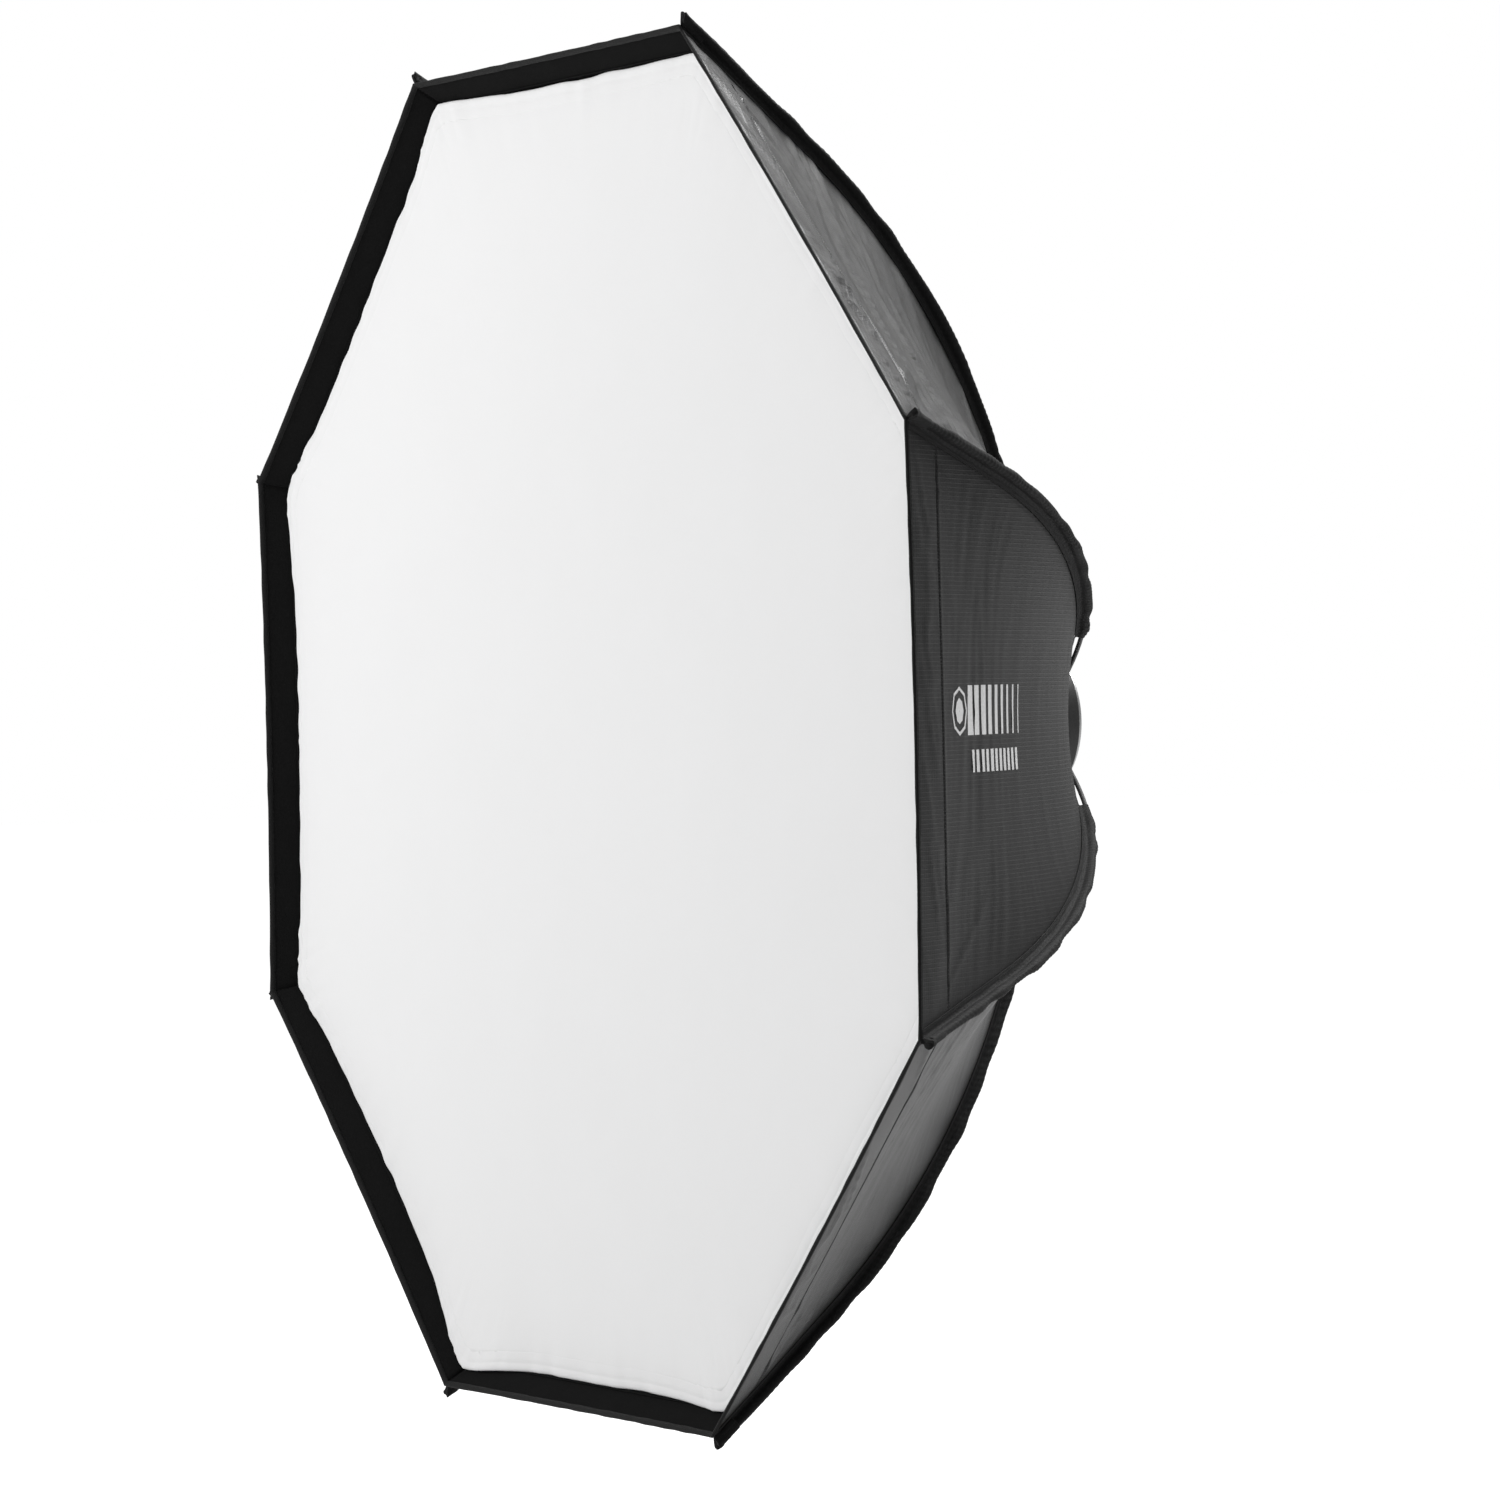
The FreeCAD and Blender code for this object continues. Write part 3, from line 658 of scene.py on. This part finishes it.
def panel_grid(panel, columns, rows, lift=0.0, span=1.0, folded=True):
    """A panel's grid of points, closer together beside the sleeves, and its UV in metres."""
    u = np.linspace(-1, 1, columns)
    u = span * (0.7 * u + 0.3 * np.sin(u * np.pi / 2))
    across, along = np.meshgrid(u, rows)
    r, _ = corner_line(along)
    uv = np.stack([across * r * math.sin(HALF), along * PANEL_RUN], -1)
    return shell(panel, across, along, lift, folded), uv


def grid_area(points):
    """Area of a grid of points: half the cross product of each cell's diagonals."""
    a = points[1:, 1:] - points[:-1, :-1]
    b = points[1:, :-1] - points[:-1, 1:]
    return float(0.5 * np.linalg.norm(np.cross(a, b), axis=-1).sum())


PANEL_CUT = (2 * corner_line(1.0)[0] * math.sin(HALF), PANEL_RUN)
LINING_START = 0.02                  # shares of the panel, along and across it
LINING_SPAN = 0.975


def shell_panels(material, lining):
    """Outer cloth of each side, and its silver lining a little inside."""
    flat_area = grid_area(panel_grid(0, 40, np.linspace(0, 1, 60), folded=False)[0])
    for k in range(SIDES):
        outer = grids(f"shell_panel_{k + 1}_cloth", [panel_grid(k, 110, rows_of_panel(150))], thick=CLOTH)
        finished(outer, material, "softbox", "shell_fabric", f"shell_panel_{k + 1}")
        rows = np.linspace(LINING_START, LIP_SEAM - 0.008, 90)
        inner_grid = panel_grid(k, 56, rows, -LINING_GAP, LINING_SPAN)
        inner = grids(f"lining_panel_{k + 1}", [inner_grid], thick=-CLOTH)
        finished(inner, lining, "softbox", "silver_lining")


def sleeve_grid(k):
    """Sleeve along rib k: two flanges that lie on the panels, and between them a fin folded round the rod.
    The fin's section is a row of points in the rod's plane, joined smoothly; its width and height swell and
    shrink along the rod, with slanting puckers."""
    start, end = s_at_radius(SLEEVE_START_R), RIM_S - 0.002
    s = np.linspace(start, end, 430)
    along = (NECK_RUN + s - JOIN_S) / PANEL_RUN
    half = corner_line(along)[0] * math.sin(HALF)
    seed = 1000 + 10 * k
    swell = noise(s / 0.030, s * 0, seed)
    lean = noise(s / 0.06, s * 0, seed + 1)
    rear = np.exp(-(s - start) / 0.16)

    def flange(panel, hand, w):
        lift = 0.0007 + 0.0004 * (w < 0.006)
        return shell(panel, hand * (1 - w / half), along, lift, folded=False)

    columns = [flange(k, 1, w) for w in FLANGE]
    for w, d in FIN + [(0.0, 0.0045)] + [(-w, d) for w, d in FIN[::-1]]:
        wide = w * (1 + 0.25 * swell) - 0.0010 * lean * (d - SHELL) / 0.012
        high = d + (d > 0) * (0.0003 + 0.0015 * swell)
        slant = s / 0.0085 + 90 * w + 60 * d + 1.5 * lean
        depth = (0.00025 + 0.00025 * rear) * (0.6 + 0.4 * noise(s / 0.03, s * 0 + w * 900, seed + 2))
        pucker = depth * np.sin(2 * np.pi * slant)
        r, y = rod_line(s, high + pucker * (d > 0))
        columns.append(around(rib_angle(k), r, y, -wide - np.sign(w) * pucker))
    columns += [flange((k + 1) % SIDES, -1, w) for w in FLANGE[::-1]]
    points = joined_smoothly(np.stack(columns, 1), 2)
    return points, tube_uv(points)


def joined_smoothly(points, steps):
    """Catmull-Rom curves through each row of points (n, m, 3), with so many steps to a span."""
    before = np.concatenate([points[:, :1], points[:, :-1]], 1)
    after = np.concatenate([points[:, 1:], points[:, -1:]], 1)
    slope = (after - before) / 2
    t = (np.arange(steps) / steps)[:, None]
    a, b = points[:, :-1, None], points[:, 1:, None]
    m, n = slope[:, :-1, None], slope[:, 1:, None]
    spans = ((2 * t ** 3 - 3 * t ** 2 + 1) * a + (t ** 3 - 2 * t ** 2 + t) * m
             + (3 * t ** 2 - 2 * t ** 3) * b + (t ** 3 - t ** 2) * n)
    spans = spans.reshape(len(points), -1, 3)
    return np.concatenate([spans, points[:, -1:]], 1)


def rod_sleeves(material):
    """A sewn sleeve over each rod."""
    for k in range(SIDES):
        points, uv = sleeve_grid(k)
        piece = grids(f"rod_sleeve_{k + 1}_cloth", [(points, uv)], thick=SLEEVE_THICK)
        finished(piece, material, "softbox", "sleeve_fabric", f"rod_sleeve_{k + 1}")


def corner_pockets(material):
    """Doubled webbing folded over each rod's tip: a crushed flat sleeve whose cut end leans outwards and
    ends in two small horns with a dip between them. Each corner's cut leans and wrinkles in its own way."""
    t = np.concatenate([np.linspace(0, 1, 40), [1.0, 1.0, 1.0]])[:, None]
    inset = np.concatenate([np.ones(40), [0.8, 0.5, 0.2]])[:, None]
    ring = ellipse(1.0, 1.0, 36, 0.75)
    wide, tall = ring[None, :, 0], ring[None, :, 1]
    for k in range(SIDES):
        luck = np.random.default_rng(900 + k).uniform(-1, 1, 3)
        s = RIM_S - POCKET_LENGTH + t * (POCKET_LENGTH + 0.0005)
        flare = 1 + (0.35 + 0.15 * luck[0]) * t ** 3 * tall
        horn = 0.0045 * np.abs(wide) ** 2 * (1 + tall) / 2 * t ** 10 * inset ** 0.5
        cut = (0.0025 + 0.0020 * luck[1]) * tall * t ** 4
        crush = 0.0011 * t ** 2 * noise(s / 0.0045 + 3 * tall, wide * 1.7 + 9 * k + 0 * s, 700 + k)
        side = 0.0041 * inset * wide * flare + crush + 0.0008 * luck[2] * t ** 3 * tall
        out = 0.0068 * (0.45 + 0.55 * inset) * tall - 0.0020 + crush + 0.25 * horn
        r, y = rod_line(s + horn + cut, out)
        piece = capped(f"corner_pocket_{k + 1}_webbing", around(rib_angle(k), r, y, side))
        finished(piece, material, "softbox", "webbing", f"corner_pocket_{k + 1}")


def rim_path(lift, back, count=64):
    """A line beside the rim, panel after panel, lifted off the cloth and set back along it."""
    u = np.linspace(-1, 1, count, endpoint=False)
    return np.concatenate([shell(k, u, 1 - back / PANEL_RUN, lift, folded=False) for k in range(SIDES)])


def front_hem(material):
    """Bound edge: a strip folded over the rim, 5 mm wide inside and 2 mm outside, a little uneven."""
    section = [(0.0007, 0.0020), (0.0010, 0.0012), (0.0010, 0.0002), (0.0004, -0.0010), (-0.0006, -0.0014),
               (-0.0018, -0.0010), (-0.0027, 0.0004), (-0.0031, 0.0020), (-0.0031, 0.0036), (-0.0029, 0.0048),
               (-0.0023, 0.0056), (-0.0016, 0.0051), (-0.0012, 0.0030)]
    lines = np.stack([rim_path(lift, back) for lift, back in section], 1)
    count = len(lines)
    uneven = noise(np.arange(count) / 2.3, np.zeros(count), 41)
    lines = lines + (0.00035 * uneven)[:, None, None] * unit(lines - lines.mean(1, keepdims=True))
    grid = np.concatenate([lines, lines[:1]])
    piece = grids("front_hem_binding", [(grid, tube_uv(grid))], ring=True)
    finished(piece, material, "softbox", "webbing", "front_hem")


def tape(name, lift, thick, back_y, front_back, span):
    """Tape on the inside of the lip, one strip on each side, between two distances back from the rim."""
    rows = 1 - np.linspace(back_at(back_y), front_back, 22) / PANEL_RUN
    patches = []
    for k in range(SIDES):
        u = np.linspace(-span, span, 90)
        across, along = np.meshgrid(u, rows)
        r, _ = corner_line(along)
        uneven = 0.00025 * noise(across * 20 + 11 * k, along * PANEL_RUN / 0.012, 61)
        points = shell(k, across, along, lift + uneven, folded=False)
        patches.append((points, np.stack([across * r * math.sin(HALF), along * PANEL_RUN], -1)))
    return grids(name, patches, thick=thick, turn=True)


def octagon_reach(angle):
    """Distance from the middle to the side of an octagon whose corners are at 1."""
    local = (angle + HALF) % SECTOR - HALF
    return math.cos(HALF) / np.cos(local)


def near_corner(angle):
    """Angle to the nearest corner."""
    return HALF - np.abs((angle + HALF) % SECTOR - HALF)


def octagon_sheet(name, corner, y, columns, rows, profile, edge_shape, height, thick):
    """A stretched octagonal sheet, from its centre out to its edge and then round it. Profile is a list of
    (inset from the edge, distance back). Edge_shape(angle) moves the edge, height(x, z, inset) the face."""
    angle = np.linspace(0, 2 * np.pi, columns, endpoint=False)
    edge = corner * octagon_reach(angle) + edge_shape(angle)
    share = np.linspace(0, 1, rows + 1)[1:-1] ** 0.8
    radii = [edge * s for s in share] + [edge - inset for inset, _ in profile]
    backs = [0.0] * len(share) + [back for _, back in profile]
    r = np.array(radii)
    x, z = r * np.cos(angle), r * np.sin(angle)
    inset = (edge[None] - r) * math.cos(HALF)
    yy = y + np.array(backs)[:, None] + height(x, z, inset)
    grid = np.stack([x, yy, z], -1)
    count = len(r) * columns
    middle = y + float(height(np.zeros(1), np.zeros(1), edge[:1])[0])
    points = np.concatenate([grid.reshape(-1, 3), [[0, middle, 0]]])
    j = np.arange(columns)
    fan = np.stack([(j + 1) % columns, j, np.full(columns, count), np.full(columns, count)], -1)
    faces = np.concatenate([grid_faces(len(r), columns, ring=True), fan])
    uv = np.concatenate([points[:, 0:1], points[:, 2:3]], 1)
    piece = add_mesh(name, points, faces, uv)
    thicken(piece, thick)
    return piece


FRONT_CORNER = float(corner_line(1 - back_at(SHEET_Y) / PANEL_RUN)[0]) - DIFFUSER_INSET
FRONT_SEAM = 0.0090                  # the front hem's seam, from the sheet's edge
RIM_SLOPE = 1 / math.tan(TIP_ANGLE)  # growth of the lip's radius for each unit forward


def drawn_forward(angle):
    """How far the front sheet is drawn forward: most at its corners, each by its own amount."""
    nearest = np.round((angle - HALF) / SECTOR).astype(int) % SIDES
    return np.array(CORNER_DRAWN)[nearest] * np.exp(-(near_corner(angle) * FRONT_CORNER / 0.085) ** 2)


def front_edge(angle):
    """Moves of the front sheet's edge: small waves, corners cut a little round, wider when drawn forward."""
    gap = near_corner(angle) * FRONT_CORNER
    wave = noise(angle * FRONT_CORNER / 0.055, angle * 0, 81) * 0.0014 * (1 - np.exp(-(gap / 0.03) ** 2))
    cut = 0.0028 + 0.0010 * noise(np.round((angle - HALF) / SECTOR) * 1.7, angle * 0, 82)
    return wave - cut * np.exp(-gap * math.tan(HALF) / cut) + RIM_SLOPE * drawn_forward(angle)


def front_relief(x, z, inset):
    """Height of the front sheet: ripples that fade inwards, gathers at its corners, a slack middle, one
    crease, the hem's pad and the groove of its seam."""
    angle = np.arctan2(z, x)
    gap = near_corner(angle) * np.hypot(x, z)
    ripple = noise(angle * FRONT_CORNER / 0.022, inset / 0.05, 83) * np.exp(-(inset / 0.035))
    gather = crest(angle * FRONT_CORNER / 0.012, inset / 0.06, 85) * np.exp(-(gap / 0.07) ** 2 - inset / 0.05)
    slack = noise(x / 0.30 + 9, z / 0.30, 87)
    crease = bump_at(x * 0.94 + z * 0.34, -0.535, 0.006) * bump_at(z, -0.33, 0.045)
    relief = 0.0013 * ripple - 0.0022 * gather + 0.0012 * slack + 0.0016 * crease
    relief = relief + 0.0005 * bump_at(inset, FRONT_SEAM, 0.0014) - 0.0002 * bump_at(inset, 0.005, 0.004)
    return relief - drawn_forward(angle) * np.exp(-inset / 0.05)


def front_diffuser(material):
    """White front sheet, flat, with a hem turned round its edge."""
    flat = [(0.030, 0), (0.021, 0), (0.015, 0), (0.0118, 0), (0.0103, 0), (0.009, 0), (0.0077, 0), (0.006, 0),
            (0.0035, 0.0), (0.0016, 0.0004), (0.0008, 0.0012), (0.0012, 0.0026)]
    hem = [(RIM_SLOPE * b, b) for b in (0.006, 0.010, 0.014)]
    piece = octagon_sheet("front_diffuser_cloth", FRONT_CORNER, SHEET_Y, 8 * 110, 46, flat + hem,
                          front_edge, front_relief, FRONT_THICK)
    finished(piece, material, "front_diffuser", "diffuser_fabric", "front_diffuser")


def inner_diffuser(material):
    """Second white sheet: its edges are drawn inwards between the corners, where the cords pull."""
    def edge_shape(angle):
        wave = 0.0006 * noise(angle * 20, angle * 0, 91)
        return wave - 0.016 * (1 - np.exp(-(near_corner(angle) / 0.12) ** 2))

    def height(x, z, inset):
        angle = np.arctan2(z, x)
        gap = near_corner(angle) * np.hypot(x, z)
        fan = crest(angle * 26, inset / 0.2, 93) * np.exp(-(gap / 0.09) ** 2 - inset / 0.12)
        groove = bump_at(inset, 0.014, 0.0014)
        return 0.0030 * fan + 0.0014 * noise(x / 0.2, z / 0.2, 95) + 0.0007 * groove

    flat = [(0.026, 0), (0.019, 0), (0.0155, 0), (0.014, 0), (0.0125, 0), (0.009, 0), (0.005, 0),
            (0.002, 0.0), (0.0006, 0.0006), (0.0, 0.0018), (0.0008, 0.0030)]
    piece = octagon_sheet("inner_diffuser_cloth", INNER_CORNER_R + 0.002, INNER_Y, 8 * 60, 30, flat,
                          edge_shape, height, INNER_THICK)
    finished(piece, material, "softbox", "diffuser_fabric", "inner_diffuser")


def neck_collar(material):
    """Gathered collar on the speedring's nose: a rolled band whose surface is pleated all round."""
    angle = np.linspace(0, 2 * np.pi, 480, endpoint=False)
    uneven = 0.0006 * noise(angle * 30, angle * 0, 52)
    pleat = 0.0009 * np.sin(angle * 60 + 2 * noise(angle * 6, angle * 0, 51)) + uneven
    a = np.linspace(0, 2 * np.pi, 20, endpoint=False)
    radius = NOSE_R + 0.0058
    r = radius + (0.0042 + pleat[:, None]) * np.cos(a)
    y = NECK[1] + 0.0015 + (0.0050 + pleat[:, None]) * np.sin(a)
    grid = np.stack([r * np.cos(angle)[:, None], y, r * np.sin(angle)[:, None]], -1)
    grid = np.concatenate([grid, grid[:1]])
    piece = grids("neck_collar_gather", [(grid, tube_uv(grid))], ring=True, turn=True)
    finished(piece, material, "softbox", "webbing", "neck_collar")


def seam_line(panel, across, along, lift):
    """A stitched line on a panel's folded surface: points and outward normals."""
    points = shell(panel, across, along, lift)
    above = shell(panel, across, along, lift + 0.001)
    return points, unit(above - points)


def seams(material):
    """Double row of stitches along each lip's seam, and one row beside each sleeve."""
    lines = []
    for k in range(SIDES):
        u = np.linspace(-0.97, 0.97, 165)
        for off in (-0.0018, 0.0018):
            lines.append(seam_line(k, u, np.full_like(u, LIP_SEAM + off / PANEL_RUN), 0.0002))
        s = np.arange(s_at_radius(SLEEVE_START_R), RIM_S - POCKET_LENGTH, 0.0036)
        along = (NECK_RUN + s - JOIN_S) / PANEL_RUN
        half = corner_line(along)[0] * math.sin(HALF)
        for hand in (-1, 1):
            lines.append(seam_line(k, hand * (1 - (SEAM_SIDE + 0.0005) / half), along, 0.0012))
    piece = stitches("seam_stitches", lines)
    finished(piece, material, "softbox", "shell_fabric")


def front_stitches(material):
    """Stitches of the front sheet's hem, on its surface."""
    lines = []
    for k in range(SIDES):
        angle = SECTOR * k + np.linspace(-0.37, 0.37, 150)
        edge = FRONT_CORNER * octagon_reach(angle) + front_edge(angle)
        r = edge - FRONT_SEAM / math.cos(HALF)
        x, z = r * np.cos(angle), r * np.sin(angle)
        y = SHEET_Y - 0.0002 + front_relief(x, z, FRONT_SEAM)
        lines.append((np.stack([x, y, z], -1), np.broadcast_to([0.0, -1.0, 0.0], (len(x), 3))))
    piece = stitches("front_diffuser_stitches", lines)
    finished(piece, material, "front_diffuser", "diffuser_fabric")


def on_side_panel(side, back):
    """Points and UV of a print on the +X panel, from metres across it and back from the rim."""
    along = 1 - back / PANEL_RUN
    half = corner_line(along)[0] * math.sin(HALF)
    return shell(0, side / half, along, PRINT_LIFT), np.stack([side, back], -1)


def print_patch(centre, size):
    """A rectangle of print; centre and size are (across, back from the rim)."""
    v = np.linspace(-0.5, 0.5, max(3, int(size[0] / 0.002)))
    w = np.linspace(-0.5, 0.5, max(3, int(size[1] / 0.002)))
    return on_side_panel(*np.meshgrid(centre[0] + v * size[0], centre[1] + w * size[1]))


def octagon_band(centre, outer, inner):
    """A ring of print between two octagons."""
    a = np.linspace(0, 2 * np.pi, 6 * SIDES + 1) + HALF
    reach = np.linspace(inner, outer, 3)[:, None] * octagon_reach(a + HALF)
    return on_side_panel(centre[0] + reach * np.cos(a), centre[1] + reach * np.sin(a))


def side_print(material):
    """Plain printed mark on the +X panel: an octagon in an octagon, a row of bars that grow thinner, like a
    brightness scale, and a row of small blocks."""
    icon = (0.0155, 0.1195)
    patches = [octagon_band(icon, 0.0235, 0.0200), octagon_band(icon, 0.0125, 0.0005)]
    patches += [print_patch((0.0160, 0.1550 + 0.0212 * i), (0.0475, 0.0168 - 0.0016 * i)) for i in range(9)]
    patches += [print_patch((-0.0325, 0.1620 + 0.0150 * i), (0.0215, 0.0085)) for i in range(11)]
    piece = grids("side_panel_print", patches, turn=True)
    finished(piece, material, "softbox", "print_ink")


# ---- stage ----
FILL_LIGHT = 0.22                    # the world's and the floor's light on the object; the camera sees white
FLOOR_LIGHT = 0.5
CAMERA_PLACE = (5.3867, -3.4924, 0.0364)
CAMERA_AZIMUTH = math.radians(59.874)
CAMERA_ELEVATION = math.radians(0.541)
CAMERA_ROLL = math.radians(-1.350)
CAMERA_LENS = 142.67
LAMPS = {                            # place, target, size and power
    "front_light": ((-2.6, -5.2, 2.2), (0, -0.4, 0), 3.0, 240),
    "top_light": ((0.2, 1.7, 4.3), (0.3, -0.3, 0), 2.2, 370),
    "back_light": ((-1.5, 4.5, 3.0), (0, -0.3, 0), 2.5, 46),
    "side_light": ((5.5, 1.5, 0.8), (0.3, -0.3, 0), 1.2, 1.5)}
FLOOR_Z = -0.85
FLOOR_RADIUS = 40


def camera():
    """Camera at the view's place: its axes from the azimuth and elevation, then rolled about the view."""
    az, el, roll = CAMERA_AZIMUTH, CAMERA_ELEVATION, CAMERA_ROLL
    back = Vector((math.sin(az) * math.cos(el), -math.cos(az) * math.cos(el), math.sin(el)))
    right = Vector((math.cos(az), math.sin(az), 0))
    up = back.cross(right)
    x = right * math.cos(roll) + up * math.sin(roll)
    y = up * math.cos(roll) - right * math.sin(roll)
    data = bpy.data.cameras.new("camera")
    data.lens = CAMERA_LENS
    data.sensor_width = 36
    data.clip_end = 200
    seen = placed("camera", data)
    turn = Matrix((x, y, back)).transposed()
    seen.matrix_world = Matrix.Translation(CAMERA_PLACE) @ turn.to_4x4()
    bpy.context.scene.camera = seen


def lamp(name, place, target, size, power):
    """Round area lamp aimed at a target."""
    data = bpy.data.lights.new(name, "AREA")
    data.shape = "DISK"
    data.size = size
    data.energy = power
    lit = placed(name, data)
    lit.location = place
    lit.rotation_euler = (Vector(target) - Vector(place)).to_track_quat("-Z", "Y").to_euler()


def camera_ray(tree):
    """1 on the camera's own rays, else 0."""
    return tree.nodes.new("ShaderNodeLightPath").outputs["Is Camera Ray"]


def white_world():
    """White to the camera, and a weak even light on the object."""
    world = bpy.data.worlds.new("studio")
    world.use_nodes = True
    tree = world.node_tree
    lit = tree.nodes["Background"]
    lit.inputs[1].default_value = FILL_LIGHT
    seen = tree.nodes.new("ShaderNodeBackground")
    lit.inputs[0].default_value = seen.inputs[0].default_value = (1, 1, 1, 1)
    choice = tree.nodes.new("ShaderNodeMixShader")
    tree.links.new(camera_ray(tree), choice.inputs[0])
    tree.links.new(lit.outputs[0], choice.inputs[1])
    tree.links.new(seen.outputs[0], choice.inputs[2])
    tree.links.new(choice.outputs[0], tree.nodes["World Output"].inputs[0])
    bpy.context.scene.world = world
    bpy.context.scene.view_settings.view_transform = "Standard"


def white_floor():
    """A wide round of lit white paper."""
    a = np.linspace(0, 2 * np.pi, 64, endpoint=False)
    ring = np.stack([FLOOR_RADIUS * np.cos(a), FLOOR_RADIUS * np.sin(a), np.full(64, FLOOR_Z)], -1)
    mesh = bpy.data.meshes.new("floor")
    mesh.from_pydata(ring.tolist(), [], [list(range(64))])
    paper = Finish("floor_paper", Base_Color=grey(0.25), Roughness=0.9, Specular_IOR_Level=0.0,
                   Emission_Color=grey(1.0))
    seen = Number(paper, camera_ray(paper.tree))
    paper.fill(paper.shader, {"Emission Strength": paper.math("MAXIMUM", seen, FLOOR_LIGHT)})
    mesh.materials.append(paper.material)
    placed("floor", mesh)


def stage():
    """Background, lamps and floor."""
    white_world()
    for name, settings in LAMPS.items():
        lamp(name, *settings)
    white_floor()


def dress(material, *names):
    """Gives solids of the frame a better material."""
    for name in names:
        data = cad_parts[name].data
        data.materials.clear()
        data.materials.append(material)


def hardware():
    """Materials of the frame's own solids."""
    black = moulded("black_plastic", grey(0.010), grey(0.028), 0.45)
    steel = turned_metal("steel", grey(0.35), grey(0.60), 0.28)
    dress(turned_metal("cast_metal", grey(0.42), grey(0.62), 0.34), "adapter_ring")
    dress(ring_paint(), "speedring", "retainer_ring")
    dress(steel, "retainer_screws", "rod_sockets", "lock_stud_1", "lock_stud_2")
    nylon = moulded("nylon", grey(0.60), grey(0.75), 0.40)
    dress(nylon, "rear_glide_washer", "front_glide_washer", "turning_bush")
    dress(black, "lock_knob_1", "lock_knob_2", "rod_tips", "inner_clips")
    dress(rod_finish(), *[f"rib_rod_{k + 1}" for k in range(SIDES)])
    dress(elastic(), "inner_cords")
    dress(solid_webbing(), "seam_loops")


def softbox():
    """Every piece that scene.py makes, with its material."""
    hardware()
    cloth = ripstop("shell_cloth", grey(0.006), grey(0.017), rough=0.34, sheen=0.02)
    shell_panels(cloth, silver_lining())
    rod_sleeves(plain_weave("sleeve_cloth", grey(0.003), grey(0.010), rough=0.55, pitch=0.0010,
                            relief=0.0003, sheen=0.03))
    strap = webbing()
    corner_pockets(strap)
    front_hem(strap)
    neck_collar(strap)
    loops = tape("loop_band_nap", LOOP_LIFT, LOOP_THICK, LOOP_Y, 0.001, span=0.998)
    finished(loops, loop_tape(), "softbox", "loop_tape", "loop_band")
    hooks = tape("hook_band_tape", HOOK_LIFT, HOOK_THICK, HOOK_Y, back_at(SHEET_Y), span=0.992)
    finished(hooks, hook_tape(), "front_diffuser", "loop_tape", "hook_band")
    white = diffuser_cloth()
    front_diffuser(white)
    inner_diffuser(white)
    seams(thread("black_thread", grey(0.008), grey(0.03)))
    side_print(print_ink())
    front_stitches(thread("white_thread", grey(0.70), grey(0.82)))


camera()
stage()
softbox()
